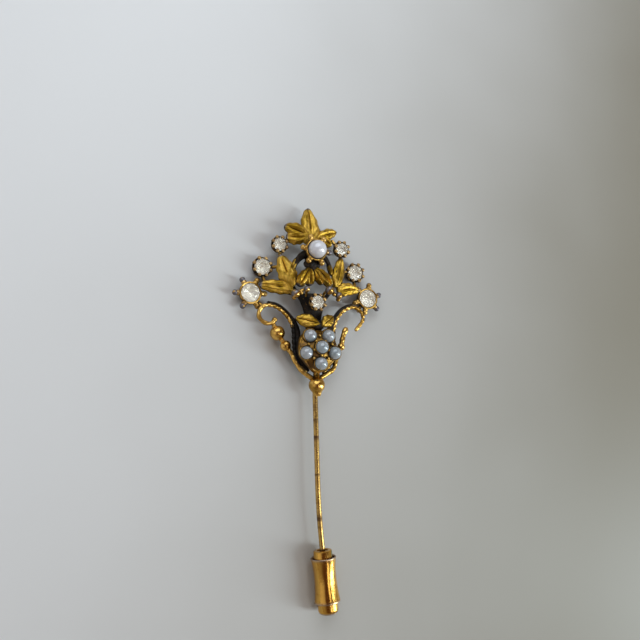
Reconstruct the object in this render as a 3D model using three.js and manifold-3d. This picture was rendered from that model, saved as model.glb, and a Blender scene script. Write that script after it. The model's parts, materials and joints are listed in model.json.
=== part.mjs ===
// Hat pin: an openwork flower-basket head set with rhinestones and imitation pearls,
// brazed to a wire stem whose point is covered by a friction clutch.
//
// The pin is drawn lying on its back, face up: +Y runs along the stem towards the head's top leaf,
// +X is the wearer's side of the head seen from the front, +Z is up. Millimetres.
// Every place below is measured from the centre of the base ball, where head and stem meet.

import * as THREE from "three";
import { mergeVertices } from "three/addons/utils/BufferGeometryUtils.js";
import Module from "manifold-3d";

const wasm = await Module();
wasm.setup();

// ---------------------------------------------------------------- driving dimensions

// Stem
const STEM_RADIUS = 0.45;
const STEM_LENGTH = 36.4; // below the base ball's centre, along the wire, to the point
const STEM_STRAIGHT = 16; // straight run below the ball, before the wire's slight set
const STEM_SET_DEG = 4.4; // how far use has bent the lower end
const STEM_SET_LENGTH = 9; // length over which it bends
const STEM_POINT = 3; // length of the ground point
const STEM_SETBACK = 0.9; // the wire lies this far behind the base ball's centre

// Clutch
const SLEEVE_RADIUS = 2.15; // at both flared rims
const SLEEVE_LENGTH = 7.1;
const SLEEVE_WALL = 0.26;
const BARREL_RADIUS = 1.55;
const BARREL_WALL = 0.2;
const BARREL_PROUD = 1.1; // shows above the sleeve
const CAP_PROUD = 1.8; // shows below the sleeve
const CAP_OVERLAP = 1.4; // the cap's skirt, hidden inside the sleeve
const CAP_WALL = 0.12;
const CLUTCH_TIP_GAP = 0.35; // between the stem's point and the cap's floor
const WASHER_THICKNESS = 0.3;
const SPRING_LENGTH = 5.2;
const SPRING_WALL = 0.16;

// Fits
const SLIP_FIT = 0.04; // radial, between parts that move on each other
const STEM_HOLE_FIT = 0.12; // radial, stem through the clutch's mouth
const SEAT_FIT = 0.02; // between a stone or pearl and its seat
const PRESS_GAP = 0.01; // radial, between clutch shells pressed together

// Base ball
const BALL_RADIUS = 1.4;
const BALL_DROP = 1.9; // centre to its flat lower end
const BALL_FOOT_RADIUS = 0.62;
const NECK_RADIUS = 0.55; // the stub on the ball that the cup is soldered to
const NECK_TOP = 2.6;
const STEM_DEPTH_IN_BALL = 0.5; // how far past the ball's centre plane the wire is let in

// Stones and pearls
const LARGE_STONE = 1.6;
const MIDDLE_STONE = 1.42;
const SMALL_STONE = 1.17;
const PEARL_RADIUS = 1.6;
const SEED_RADIUS = 1.12;

// Settings
const SETTING_WALL = 0.33;
const SETTING_FLOOR = 0.45;
const RAY_COUNT = 6;
const RAY_RADIUS = 0.3;
const RAY_REACH = 0.98; // from the stone's edge to the bead's centre
const RAY_BEAD = 0.5;
const RAY_DROP = 0.4;
const PRONG_COUNT = 8;
const PRONG_RADIUS = 0.22;
const PRONG_BEAD = 0.3;
const LUG_RADIUS = 0.3;

// Basket cup: an egg-shaped cup whose front is a dome
const CUP_CENTRE_Y = 5.8;
const CUP_HALF_WIDTH = 3.6; // at its rim
const CUP_TOP = 9.4;
const CUP_BOTTOM = 1.85;
const CUP_BACK = -1.5;
const CUP_RIM_Z = 0.9; // below this the cup narrows towards its back
const CUP_BACK_SHARE = 0.7;
const DOME = { centreZ: -1.0, x: 4.5, y: 4.1, z: 3.65 };
const SEED_PROUD = 0.3; // a seed pearl's centre above the dome
const GRANULE_RADIUS = 0.26;

// Wires
const BRANCH_RADIUS = 0.36;
const OUTER_WIRE_RADIUS = 0.4;
const ROPE_RADIUS = 0.36;
const STRAP_WIDTH = 0.95;
const STRAP_DEPTH = 1.3;
const TWIG_RADIUS = 0.26;

// Leaves
const LEAF_THICKNESS = 0.55;
const LEAF_DOME = 0.4; // how far each half of a leaf swells
const LEAF_GROOVE = 0.25; // depth of the midrib's groove below the swell

// ---------------------------------------------------------------- layout of the head

const LYING_Z = -(STEM_SETBACK + SLEEVE_RADIUS); // the surface that clutch and head rest on

// Where each pair of settings sits, for the +X side; the -X side mirrors it.
const LOWER_STONE_AT = [11.1, 15.7];
const MIDDLE_STONE_AT = [8.85, 20.4];
const UPPER_STONE_AT = [5.9, 24.4, -0.5];
const CENTRE_STONE_AT = [0, 14.05, 1.6];
const PEARL_AT = [0, 23.25, 2.2];

// Seed pearls on the dome, as [x, y]
const SEEDS = {
  seed_pearl_centre: [0, 6.15],
  seed_pearl_top_left: [-1.67, 8.2],
  seed_pearl_top_right: [1.67, 8.2],
  seed_pearl_left: [-2.6, 5.25],
  seed_pearl_right: [2.6, 5.25],
  seed_pearl_bottom: [0, 3.45],
};

const SIDES = { left: -1, right: 1 };

// ---------------------------------------------------------------- finishes

const finish = (color, roughness, metalness) =>
  new THREE.MeshStandardMaterial({ color, roughness, metalness });

const ANTIQUE_GOLD = finish(0xb8892c, 0.38, 1);
const BLACKENED_GOLD = finish(0x2a2118, 0.6, 0.8);
const WIRE_GOLD = finish(0x9c7430, 0.35, 1);
const CLUTCH_GOLD = finish(0xc2962f, 0.22, 1);
const SPRING_BRONZE = finish(0x8f6a3c, 0.4, 1);
const RHINESTONE = finish(0xe9ead9, 0.05, 0);
const IMITATION_PEARL = finish(0xe6dfe4, 0.25, 0);
const SEED_PEARL = finish(0xc9cbd0, 0.25, 0);

// ---------------------------------------------------------------- solids

const WELD = 1e-3; // corners closer than this are one corner

// A closed three.js geometry as a manifold solid.
function solidOf(geometry) {
  const bare = geometry.clone();
  bare.deleteAttribute("normal");
  bare.deleteAttribute("uv");
  const merged = mergeVertices(bare, WELD);
  return new wasm.Manifold(
    new wasm.Mesh({
      numProp: 3,
      vertProperties: new Float32Array(merged.attributes.position.array),
      triVerts: new Uint32Array(merged.index.array),
    }),
  );
}

// A manifold solid as a three.js geometry.
function geometryOf(solid) {
  const mesh = solid.getMesh();
  const geometry = new THREE.BufferGeometry();
  geometry.setAttribute("position", new THREE.BufferAttribute(mesh.vertProperties, 3));
  geometry.setIndex(new THREE.BufferAttribute(mesh.triVerts, 1));
  geometry.computeVertexNormals();
  return geometry;
}

const joined = (geometries) =>
  geometryOf(geometries.map(solidOf).reduce((whole, next) => whole.add(next)));

const cut = (geometry, cutters) =>
  geometryOf(cutters.map(solidOf).reduce((rest, next) => rest.subtract(next), solidOf(geometry)));

const common = (a, b) => geometryOf(solidOf(a).intersect(solidOf(b)));

// A turned body about +Y, from [radius, height] points.
const turned = (profile, segments = 20) =>
  new THREE.LatheGeometry(
    profile.map(([r, y]) => new THREE.Vector2(r, y)),
    segments,
  );

// The same about +Z, for settings and stones that face up.
const turnedUp = (profile, segments) => turned(profile, segments).rotateX(Math.PI / 2);

const ball = (radius, around = 9, down = 6) =>
  new THREE.SphereGeometry(radius, around, down).rotateX(Math.PI / 2);

const vectors = (points) => points.map((p) => new THREE.Vector3(...p));

const mirrored = (side, points) => points.map(([x, ...rest]) => [side * x, ...rest]);

// A round wire through the points.
function wire(points, radius, { sides = 6, steps = points.length * 2 } = {}) {
  const section = new THREE.Shape().absarc(0, 0, radius, 0, 2 * Math.PI);
  return new THREE.ExtrudeGeometry(section, {
    steps,
    curveSegments: sides / 2,
    extrudePath: new THREE.CatmullRomCurve3(vectors(points), false, "centripetal"),
  });
}

// A straight round bar from one point to another.
function bar(from, to, radius, sides = 6) {
  const a = new THREE.Vector3(...from);
  const b = new THREE.Vector3(...to);
  const along = b.clone().sub(a);
  const turn = new THREE.Quaternion().setFromUnitVectors(
    new THREE.Vector3(0, 1, 0),
    along.clone().normalize(),
  );
  return new THREE.CylinderGeometry(radius, radius, along.length(), sides)
    .applyQuaternion(turn)
    .translate(...a.add(b).divideScalar(2).toArray());
}

// ---------------------------------------------------------------- the assembly

const pin = new THREE.Group();
const head = new THREE.Group();
const clutch = new THREE.Group();
pin.add(head, clutch);

const pieces = []; // in the order that they are seated: a later one is coped to fit an earlier one

function add(group, name, material, geometry, at = [0, 0, 0]) {
  const mesh = new THREE.Mesh(geometry, material);
  mesh.name = name;
  mesh.position.set(...at);
  group.add(mesh);
  pieces.push(mesh);
  return mesh;
}

// Copes each piece round the pieces seated before it, as a joint is filed before soldering.
// Offcuts on the far side of a neighbour are dropped.
function seatPieces() {
  pin.updateMatrixWorld(true);
  const seated = [];
  for (const mesh of pieces) {
    let solid = solidOf(mesh.geometry.clone().applyMatrix4(mesh.matrixWorld));
    const box = new THREE.Box3().setFromObject(mesh, true);
    const neighbours = seated.filter((other) => other.box.intersectsBox(box));
    if (neighbours.length) {
      for (const other of neighbours) solid = solid.subtract(other.solid);
      const bodies = solidOf(geometryOf(solid)).decompose();
      solid = bodies.sort((a, b) => b.volume() - a.volume())[0];
      mesh.geometry = geometryOf(solid).applyMatrix4(mesh.matrixWorld.clone().invert());
    }
    seated.push({ solid, box });
  }
}

// ---------------------------------------------------------------- stones and pearls

const crownHeight = (radius) => 0.36 * radius;
const pavilionDepth = (radius) => 0.9 * radius;

// A round foil-backed stone, girdle at height 0.
const stone = (radius) =>
  turnedUp(
    [
      [0, -pavilionDepth(radius)],
      [radius, -0.05],
      [radius, 0.05],
      [0.56 * radius, crownHeight(radius)],
      [0, crownHeight(radius)],
    ],
    12,
  );

// ---------------------------------------------------------------- settings

// A cup under a stone or pearl: flat back, tapering side, and a rim.
function settingCup(radius, depth, rim) {
  const outer = radius + SETTING_WALL;
  return turnedUp(
    [
      [0, -depth],
      [0.74 * outer, -depth],
      [outer, -0.3 * depth],
      [outer, rim],
      [0, rim],
    ],
    12,
  );
}

// The bead-tipped rays that stand out round a setting, one every turn / RAY_COUNT.
function rays(radius, height, turnDeg) {
  const made = [];
  for (let i = 0; i < RAY_COUNT; i++) {
    const angle = THREE.MathUtils.degToRad(turnDeg + (360 * i) / RAY_COUNT);
    const at = (r) => [r * Math.cos(angle), r * Math.sin(angle), height];
    made.push(bar(at(radius), at(radius + RAY_REACH), RAY_RADIUS, 4));
    made.push(ball(RAY_BEAD, 6, 4).translate(...at(radius + RAY_REACH)));
  }
  return made;
}

// The bead-tipped prongs that hold a stone.
function prongs(radius, depth) {
  const made = [];
  for (let i = 0; i < PRONG_COUNT; i++) {
    const angle = (2 * Math.PI * (i + 0.5)) / PRONG_COUNT;
    const post = turnedUp(
      [
        [0, -0.6 * depth],
        [PRONG_RADIUS, -0.5 * depth],
        [PRONG_RADIUS, 0.12 - PRONG_BEAD],
        [PRONG_BEAD, 0.12],
        [0, 0.12 + PRONG_BEAD],
      ],
      5,
    );
    const out = radius + PRONG_RADIUS;
    made.push(post.translate(out * Math.cos(angle), out * Math.sin(angle), 0));
  }
  return made;
}

// A short bar let into the side of a setting, which joins it to its neighbour.
const lug = (radius, height, [dx, dy, dz]) =>
  bar(
    [(dx / Math.hypot(dx, dy)) * radius * 0.8, (dy / Math.hypot(dx, dy)) * radius * 0.8, height],
    [dx, dy, dz],
    LUG_RADIUS,
  );

const seatCutter = (radius) => stone(radius + SEAT_FIT);

const mouthCutter = (radius) =>
  turnedUp(
    [
      [0, 0],
      [radius + SEAT_FIT, 0],
      [radius + SEAT_FIT, 2],
      [0, 2],
    ],
    12,
  );

function raySetting(radius, depth, turnDeg, lugs = []) {
  const body = joined([settingCup(radius, depth, 0.12), ...rays(radius, -RAY_DROP, turnDeg), ...lugs]);
  return cut(body, [seatCutter(radius), mouthCutter(radius)]);
}

function prongSetting(radius, depth, lugs = []) {
  const body = joined([settingCup(radius, depth, -0.12), ...prongs(radius, depth), ...lugs]);
  return cut(body, [seatCutter(radius)]);
}

const settingDepth = (radius) => pavilionDepth(radius) + SETTING_FLOOR;

// The head lies on the flat backs of its lower and middle settings.
const lowerStoneAt = [...LOWER_STONE_AT, LYING_Z + settingDepth(LARGE_STONE)];
const middleStoneAt = [...MIDDLE_STONE_AT, LYING_Z + settingDepth(MIDDLE_STONE)];

for (const [name, side] of Object.entries(SIDES)) {
  const [lower, middle, upper] = [lowerStoneAt, middleStoneAt, UPPER_STONE_AT].map(
    (at) => mirrored(side, [at])[0],
  );
  add(head, `stone_lower_${name}`, RHINESTONE, stone(LARGE_STONE), lower);
  add(head, `stone_middle_${name}`, RHINESTONE, stone(MIDDLE_STONE), middle);
  add(head, `stone_upper_${name}`, RHINESTONE, stone(SMALL_STONE), upper);
}
add(head, "stone_centre", RHINESTONE, stone(SMALL_STONE), CENTRE_STONE_AT);
add(head, "pearl", IMITATION_PEARL, ball(PEARL_RADIUS, 12, 10), PEARL_AT);

const domeHeight = (x, y) =>
  DOME.centreZ + DOME.z * Math.sqrt(1 - (x / DOME.x) ** 2 - ((y - CUP_CENTRE_Y) / DOME.y) ** 2);

const seedAt = ([x, y]) => [x, y, domeHeight(x, y) + SEED_PROUD];

for (const [name, at] of Object.entries(SEEDS)) {
  add(head, name, SEED_PEARL, ball(SEED_RADIUS), seedAt(at));
}

const RAY_TURN = { left: 0, right: 18 }; // the right lower setting was soldered a little turned

for (const [name, side] of Object.entries(SIDES)) {
  const [lower, middle, upper] = [lowerStoneAt, middleStoneAt, UPPER_STONE_AT].map(
    (at) => mirrored(side, [at])[0],
  );
  const toRope = lug(LARGE_STONE, -1, [-2.2 * side, -2.4, 0.2]);
  add(
    head,
    `setting_lower_${name}`,
    ANTIQUE_GOLD,
    raySetting(LARGE_STONE, settingDepth(LARGE_STONE), RAY_TURN[name], [toRope]),
    lower,
  );
  const toLeaf = lug(MIDDLE_STONE, -0.7, [-3.2 * side, 0.1, 0.8]);
  const toLower = lug(MIDDLE_STONE, -0.8, [-0.3 * side, -3.3, 0.45]);
  add(
    head,
    `setting_middle_${name}`,
    ANTIQUE_GOLD,
    prongSetting(MIDDLE_STONE, settingDepth(MIDDLE_STONE), [toLeaf, toLower]),
    middle,
  );
  const toSpray = lug(SMALL_STONE, -0.6, [-1.9 * side, 1.3, 0.1]);
  const toTip = lug(SMALL_STONE, -0.7, [-0.2 * side, -2, -0.5]);
  add(
    head,
    `setting_upper_${name}`,
    ANTIQUE_GOLD,
    prongSetting(SMALL_STONE, settingDepth(SMALL_STONE), [toSpray, toTip]),
    upper,
  );
}
add(
  head,
  "setting_centre",
  ANTIQUE_GOLD,
  prongSetting(SMALL_STONE, settingDepth(SMALL_STONE)),
  CENTRE_STONE_AT,
);

// The pearl's cup: its rim is a little below the pearl's widest circle.
const PEARL_RIM = -0.3;
const PEARL_RAY_TURN = -7;
add(
  head,
  "pearl_cup",
  ANTIQUE_GOLD,
  cut(
    joined([
      turnedUp(
        [
          [0, -PEARL_RADIUS - SETTING_FLOOR],
          [0.7 * PEARL_RADIUS, -PEARL_RADIUS - SETTING_FLOOR],
          [PEARL_RADIUS + SETTING_WALL, -1],
          [PEARL_RADIUS + SETTING_WALL, PEARL_RIM],
          [0, PEARL_RIM],
        ],
        12,
      ),
      ...rays(PEARL_RADIUS - 0.25, -1, PEARL_RAY_TURN),
    ]),
    [ball(PEARL_RADIUS + SEAT_FIT, 12, 10)],
  ),
  PEARL_AT,
);

// ---------------------------------------------------------------- stem

// The stem's line: straight down from the ball, a gentle set, then straight to the point.
const set = THREE.MathUtils.degToRad(STEM_SET_DEG);
const setRadius = STEM_SET_LENGTH / set;
const stemTopY = STEM_DEPTH_IN_BALL;
const setStart = new THREE.Vector3(0, -STEM_STRAIGHT, -STEM_SETBACK);
const tipDirection = new THREE.Vector3(Math.sin(set), -Math.cos(set), 0);
const setEnd = new THREE.Vector3(
  setRadius * (1 - Math.cos(set)),
  -STEM_STRAIGHT - setRadius * Math.sin(set),
  -STEM_SETBACK,
);
const straightTail = STEM_LENGTH - STEM_STRAIGHT - STEM_SET_LENGTH;
const stemTip = setEnd.clone().addScaledVector(tipDirection, straightTail);

function stem() {
  const pointStart = stemTip.clone().addScaledVector(tipDirection, -STEM_POINT);
  const line = new THREE.CurvePath();
  const bendCorner = setStart.clone().setY(-STEM_STRAIGHT - setRadius * Math.tan(set / 2));
  line.add(new THREE.LineCurve3(new THREE.Vector3(0, stemTopY, -STEM_SETBACK), setStart));
  line.add(new THREE.QuadraticBezierCurve3(setStart, bendCorner, setEnd));
  line.add(new THREE.LineCurve3(setEnd, pointStart));
  const section = new THREE.Shape().absarc(0, 0, STEM_RADIUS, 0, 2 * Math.PI);
  const shank = new THREE.ExtrudeGeometry(section, { steps: 18, curveSegments: 5, extrudePath: line });
  const blend = 0.2; // the point's root runs this far into the shank
  const point = turned(
    [
      [0, -STEM_POINT],
      [0.05, -STEM_POINT],
      [0.93 * STEM_RADIUS, 0],
      [0.93 * STEM_RADIUS, blend],
      [0, blend],
    ],
    9,
  )
    .rotateZ(set)
    .translate(...pointStart.toArray());
  return joined([shank, point]);
}
add(pin, "stem_wire", WIRE_GOLD, stem());

// ---------------------------------------------------------------- base ball

add(
  head,
  "base_ball",
  ANTIQUE_GOLD,
  turned(
    [
      [0, -BALL_DROP],
      [BALL_FOOT_RADIUS, -BALL_DROP],
      ...arc(BALL_RADIUS, -55, 64, 7),
      [NECK_RADIUS, NECK_TOP],
      [0, NECK_TOP],
    ],
    14,
  ),
);

// Points of a circle of the given radius, from one latitude to another, as [radius, height].
function arc(radius, fromDeg, toDeg, count) {
  return Array.from({ length: count }, (_, i) => {
    const angle = THREE.MathUtils.degToRad(fromDeg + ((toDeg - fromDeg) * i) / (count - 1));
    return [radius * Math.cos(angle), radius * Math.sin(angle)];
  });
}

// ---------------------------------------------------------------- basket cup

function basketCup() {
  const outline = new THREE.Shape();
  const shoulder = 0.8 * CUP_HALF_WIDTH;
  outline.moveTo(0, CUP_BOTTOM);
  outline.bezierCurveTo(1.6, CUP_BOTTOM, CUP_HALF_WIDTH, 3.4, CUP_HALF_WIDTH, CUP_CENTRE_Y);
  outline.bezierCurveTo(CUP_HALF_WIDTH, 8, shoulder, CUP_TOP, 1.7, CUP_TOP);
  outline.lineTo(-1.7, CUP_TOP);
  outline.bezierCurveTo(-shoulder, CUP_TOP, -CUP_HALF_WIDTH, 8, -CUP_HALF_WIDTH, CUP_CENTRE_Y);
  outline.bezierCurveTo(-CUP_HALF_WIDTH, 3.4, -1.6, CUP_BOTTOM, 0, CUP_BOTTOM);
  const prism = new THREE.ExtrudeGeometry(outline, {
    depth: DOME.centreZ + DOME.z - CUP_BACK,
    steps: 4,
    bevelEnabled: false,
    curveSegments: 5,
  }).translate(0, 0, CUP_BACK);
  const spots = prism.attributes.position;
  for (let i = 0; i < spots.count; i++) {
    const rise = Math.min(1, (spots.getZ(i) - CUP_BACK) / (CUP_RIM_Z - CUP_BACK));
    const share = CUP_BACK_SHARE + (1 - CUP_BACK_SHARE) * rise;
    spots.setX(i, spots.getX(i) * share);
    spots.setY(i, CUP_CENTRE_Y + (spots.getY(i) - CUP_CENTRE_Y) * share);
  }
  const dome = ball(1, 16, 12)
    .scale(DOME.x, DOME.y + 0.4, DOME.z)
    .translate(0, CUP_CENTRE_Y, DOME.centreZ);
  const seats = Object.values(SEEDS).map((at) => ball(SEED_RADIUS + SEAT_FIT).translate(...seedAt(at)));
  const shell = common(prism, dome);
  return cut(joined([shell, ...granules()]), seats);
}

// A granule of gold between each two seed pearls that are close neighbours.
function granules() {
  const seats = Object.values(SEEDS);
  const made = [];
  seats.forEach((a, i) =>
    seats.slice(i + 1).forEach((b) => {
      if (Math.hypot(a[0] - b[0], a[1] - b[1]) > 3.2) return;
      const [x, y] = [(a[0] + b[0]) / 2, (a[1] + b[1]) / 2];
      made.push(ball(GRANULE_RADIUS, 4, 3).translate(x, y, domeHeight(x, y) + 0.05));
    }),
  );
  return made;
}

add(head, "basket_cup", ANTIQUE_GOLD, basketCup());

// ---------------------------------------------------------------- trunk and branches

const TRUNK_FLATTEN = 0.5; // depth over width
const TRUNK_Z = -0.75;
const COLLAR_BOSS = { radius: 1, width: 1.5, at: [0, 10.2, 0.5] };

function trunk() {
  const stalk = turned(
    [
      [0, 8.2],
      [1.35, 8.2],
      [1.5, 9.2],
      [1.45, 10.8],
      [1.62, 12.2],
      [2.0, 13.6],
      [2.6, 15.0],
      [2.3, 15.8],
      [0, 15.8],
    ],
    12,
  )
    .scale(1, 1, TRUNK_FLATTEN)
    .translate(0, 0, TRUNK_Z);
  const boss = ball(COLLAR_BOSS.radius)
    .scale(COLLAR_BOSS.width, 1, 1)
    .translate(...COLLAR_BOSS.at);
  return joined([stalk, boss]);
}
add(head, "trunk", BLACKENED_GOLD, trunk());

const BRANCH_LINE = [
  [1.9, 14.6, -0.8],
  [3.2, 16.3, -0.7],
  [4.1, 18.3, -0.5],
  [3.5, 20.3, -0.3],
  [2.6, 22.0, 0.0],
  [1.2, 23.0, 0.6],
];

// The left branch is swollen with solder where it meets the pearl's cup.
const SWELLING = { line: [[-3.1, 21.3, -0.1], [-2.3, 22.3, 0.1], [-1.4, 22.95, 0.5]], radius: 0.66 };

// A lump of solder between the pearl's cup and the leaves below it, as [centre, radius] of its swellings
const KNOT = [
  [[-0.45, 20.9, 0.55], 0.9],
  [[-1.2, 20.85, 0.45], 0.65],
  [[0.4, 21.0, 0.45], 0.7],
  [[-0.5, 20.35, 0.7], 0.6],
  [[-0.95, 21.5, 0.3], 0.6],
  [[0.15, 21.6, 0.35], 0.55],
];
const KNOT_FLATTEN = 0.75;

// ---------------------------------------------------------------- leaves

// One leaf along +Y from its root: an outline cut from a sheet whose halves swell beside a grooved midrib.
function leaf(length, width, { bow = 0.3, notch = 0, widest = 0.45 } = {}) {
  const half = width / 2;
  const outline = new THREE.Shape();
  outline.moveTo(0, notch);
  outline.bezierCurveTo(half * 0.6, -notch * 0.6, half * 1.25, length * widest * 0.5, half, length * widest);
  const shoulder = length * (0.5 + 0.5 * widest);
  outline.bezierCurveTo(half, shoulder, half * 0.62, length * 0.98, 0, length);
  outline.bezierCurveTo(-half * 0.62, length * 0.98, -half, shoulder, -half, length * widest);
  outline.bezierCurveTo(-half * 1.25, length * widest * 0.5, -half * 0.6, -notch * 0.6, 0, notch);
  const reach = 3;
  const prism = new THREE.ExtrudeGeometry(outline, {
    depth: 2 * reach,
    bevelEnabled: false,
    curveSegments: 3,
  }).translate(0, 0, -reach);

  const swell = [
    [-half * 1.2, 0],
    [-half * 0.5, LEAF_DOME],
    [0, LEAF_DOME - LEAF_GROOVE],
    [half * 0.5, LEAF_DOME],
    [half * 1.2, 0],
  ];
  const upper = swell.map(([x, z]) => new THREE.Vector2(x, -z));
  const lower = swell.map(([x, z]) => new THREE.Vector2(x, LEAF_THICKNESS - z)).reverse();
  const overhang = 0.2;
  const sheet = new THREE.ExtrudeGeometry(new THREE.Shape([...upper, ...lower]), {
    depth: length + 2 * overhang,
    steps: 4,
    bevelEnabled: false,
  })
    .rotateX(-Math.PI / 2)
    .translate(0, -overhang, 0);
  const spots = sheet.attributes.position;
  for (let i = 0; i < spots.count; i++) {
    const share = spots.getY(i) / length;
    spots.setZ(i, spots.getZ(i) + 4 * bow * share * (1 - share));
  }
  return common(prism, sheet);
}

// A leaf laid from its root to its tip, rolled about its own length.
function laidLeaf({ root, tip, width, rollDeg = 0, ...shape }) {
  const a = new THREE.Vector3(...root);
  const b = new THREE.Vector3(...tip);
  const along = b.clone().sub(a);
  const y = along.clone().normalize();
  const x = y.clone().cross(new THREE.Vector3(0, 0, 1)).normalize();
  const z = x.clone().cross(y);
  return leaf(along.length(), width, shape)
    .rotateY(THREE.MathUtils.degToRad(rollDeg))
    .applyMatrix4(new THREE.Matrix4().makeBasis(x, y, z).setPosition(a));
}

// Root and tip of each leaf and of its lobes
const LEAVES = {
  top_leaf: [{ root: [-0.35, 24.6, 0.4], tip: [-0.22, 31.65, -1.0], width: 3.6, widest: 0.32, bow: 0.4 }],
  spray_leaf_left: [
    { root: [-0.5, 26.0, 0.4], tip: [-5.0, 27.85, -0.4], width: 2.1, widest: 0.5, rollDeg: -6 },
    { root: [-0.8, 25.8, 0.3], tip: [-4.75, 25.75, -0.3], width: 2.0, widest: 0.6, bow: 0.2 },
  ],
  spray_leaf_right: [
    { root: [0.7, 26.0, 0.4], tip: [5.0, 27.5, -0.4], width: 1.9, widest: 0.55, rollDeg: 6 },
    { root: [1.3, 26.4, 0.3], tip: [3.85, 24.75, -0.3], width: 1.9, widest: 0.5, bow: 0.2 },
  ],
  upper_leaf_left: [
    { root: [-4.1, 16.8, 0.3], tip: [-5.9, 22.55, -0.5], width: 3.2, widest: 0.42, rollDeg: -14 },
    { root: [-4.0, 19.6, 0.0], tip: [-2.95, 22.2, -0.1], width: 0.9, bow: 0.1 },
  ],
  upper_leaf_right: [
    { root: [4.2, 17.2, 0.3], tip: [5.95, 22.9, -0.6], width: 2.3, widest: 0.42, rollDeg: 12 },
    { root: [3.6, 19.4, 0.0], tip: [2.95, 21.8, -0.1], width: 1.2, bow: 0.1 },
  ],
  side_leaf_left: [
    { root: [-4.0, 16.4, 0.4], tip: [-9.6, 17.15, -0.5], width: 2.35, widest: 0.45 },
    { root: [-5.4, 16.6, 0.3], tip: [-4.1, 15.5, 0.2], width: 0.9, bow: 0.1 },
  ],
  side_leaf_right: [{ root: [4.5, 16.6, 0.4], tip: [9.2, 17.1, -0.5], width: 2.3, widest: 0.36 }],
  centre_leaf_left: [
    { root: [-1.0, 20.3, 0.75], tip: [-3.05, 16.95, 0.8], width: 1.7, widest: 0.62, bow: 0.35 },
    { root: [-0.9, 20.2, 0.8], tip: [-1.1, 17.1, 0.9], width: 1.5, widest: 0.66, bow: 0.35 },
  ],
  centre_leaf_right: [
    { root: [0.1, 20.3, 0.75], tip: [3.2, 17.25, 0.7], width: 1.7, widest: 0.55, bow: 0.35 },
    { root: [-0.2, 20.1, 0.8], tip: [1.5, 17.45, 0.75], width: 1.4, widest: 0.55 },
  ],
  collar_leaf_left: [{ root: [0.3, 10.3, 1.6], tip: [-3.85, 11.45, 0.5], width: 2.2, widest: 0.48 }],
  collar_leaf_right: [{ root: [0.7, 10.0, 1.6], tip: [3.45, 11.95, 0.4], width: 2.1, widest: 0.5, bow: 0.25 }],
};

for (const [name, lobes] of Object.entries(LEAVES)) {
  add(head, name, ANTIQUE_GOLD, joined(lobes.map(laidLeaf)));
}
const swelling = wire(SWELLING.line, SWELLING.radius, { sides: 8 });
for (const [name, side] of Object.entries(SIDES)) {
  const plain = wire(mirrored(side, BRANCH_LINE), BRANCH_RADIUS);
  add(head, `branch_${name}`, BLACKENED_GOLD, name === "left" ? joined([plain, swelling]) : plain);
}
add(
  head,
  "solder_knot",
  BLACKENED_GOLD,
  joined(KNOT.map(([at, radius]) => ball(radius, 9, 6).scale(1, 1, KNOT_FLATTEN).translate(...at))),
);

// ---------------------------------------------------------------- berries on their twigs

const INNER_BERRY_AT = [2.1, 16.15, 2.0];
const OUTER_BERRY_AT = [4.0, 15.35, 1.6];
const BERRY_RADIUS = { inner_left: 0.52, outer_left: 0.76, inner_right: 0.76, outer_right: 0.6 };
const TWIG_BEADS = [
  { at: [3.05, 15.5, 1.7], radius: 0.36 },
  { at: [4.1, 14.75, 1.2], radius: 0.42 },
];

for (const [name, side] of Object.entries(SIDES)) {
  const [inner, outer] = mirrored(side, [INNER_BERRY_AT, OUTER_BERRY_AT]);
  add(head, `berry_inner_${name}`, ANTIQUE_GOLD, ball(BERRY_RADIUS[`inner_${name}`], 8, 6), inner);
  add(head, `berry_outer_${name}`, ANTIQUE_GOLD, ball(BERRY_RADIUS[`outer_${name}`], 8, 6), outer);
  const twig = mirrored(side, [
    [1.5, 15.0, -0.2],
    [1.7, 15.9, 0.7],
    [2.2, 16.15, 1.35],
    [3.0, 15.9, 1.35],
    [4.1, 15.3, 1.0],
  ]);
  const beads = TWIG_BEADS.map(({ at, radius }) => ball(radius, 7, 5).translate(...mirrored(side, [at])[0]));
  add(head, `berry_twig_${name}`, ANTIQUE_GOLD, joined([wire(twig, TWIG_RADIUS, { steps: 8 }), ...beads]));
}

// ---------------------------------------------------------------- outer wires and their beads

const WIRE_BEADS = {
  wire_bead_left_upper: { at: [-6.55, 8.9, -0.9], radius: 1.28 },
  wire_bead_left_lower: { at: [-5.15, 6.75, -0.85], radius: 0.92 },
  wire_bead_right: { at: [5.2, 6.75, -0.85], radius: 0.62 },
};

// From the base ball round the basket. The left wire runs on through its beads to the curl,
// the right one ends in a free tip.
const OUTER_WIRES = {
  outer_wire_left: [
    [-0.7, 1.15, -0.3],
    [-2.3, 2.3, -0.5],
    [-3.5, 4.0, -0.7],
    [-4.15, 5.4, -0.8],
    [-5.15, 6.75, -0.85],
    [-6.55, 8.9, -0.9],
    [-7.4, 10.5, -0.9],
  ],
  outer_wire_right: [
    [0.7, 1.15, -0.3],
    [2.1, 1.9, -0.4],
    [3.4, 2.8, -0.5],
    [4.0, 4.2, -0.7],
    [4.4, 5.5, -0.8],
    [5.2, 6.75, -0.85],
    [5.6, 8.4, -0.85],
    [6.2, 9.9, -0.85],
  ],
};

for (const [name, points] of Object.entries(OUTER_WIRES)) {
  add(head, name, ANTIQUE_GOLD, wire(points, OUTER_WIRE_RADIUS, { sides: 8, steps: 14 }));
}
for (const [name, { at, radius }] of Object.entries(WIRE_BEADS)) {
  add(head, name, ANTIQUE_GOLD, ball(radius, 12, 8), at);
}

// ---------------------------------------------------------------- scrolls: a strap edged with rope wire

const SCROLL_Z = -0.9;

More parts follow.
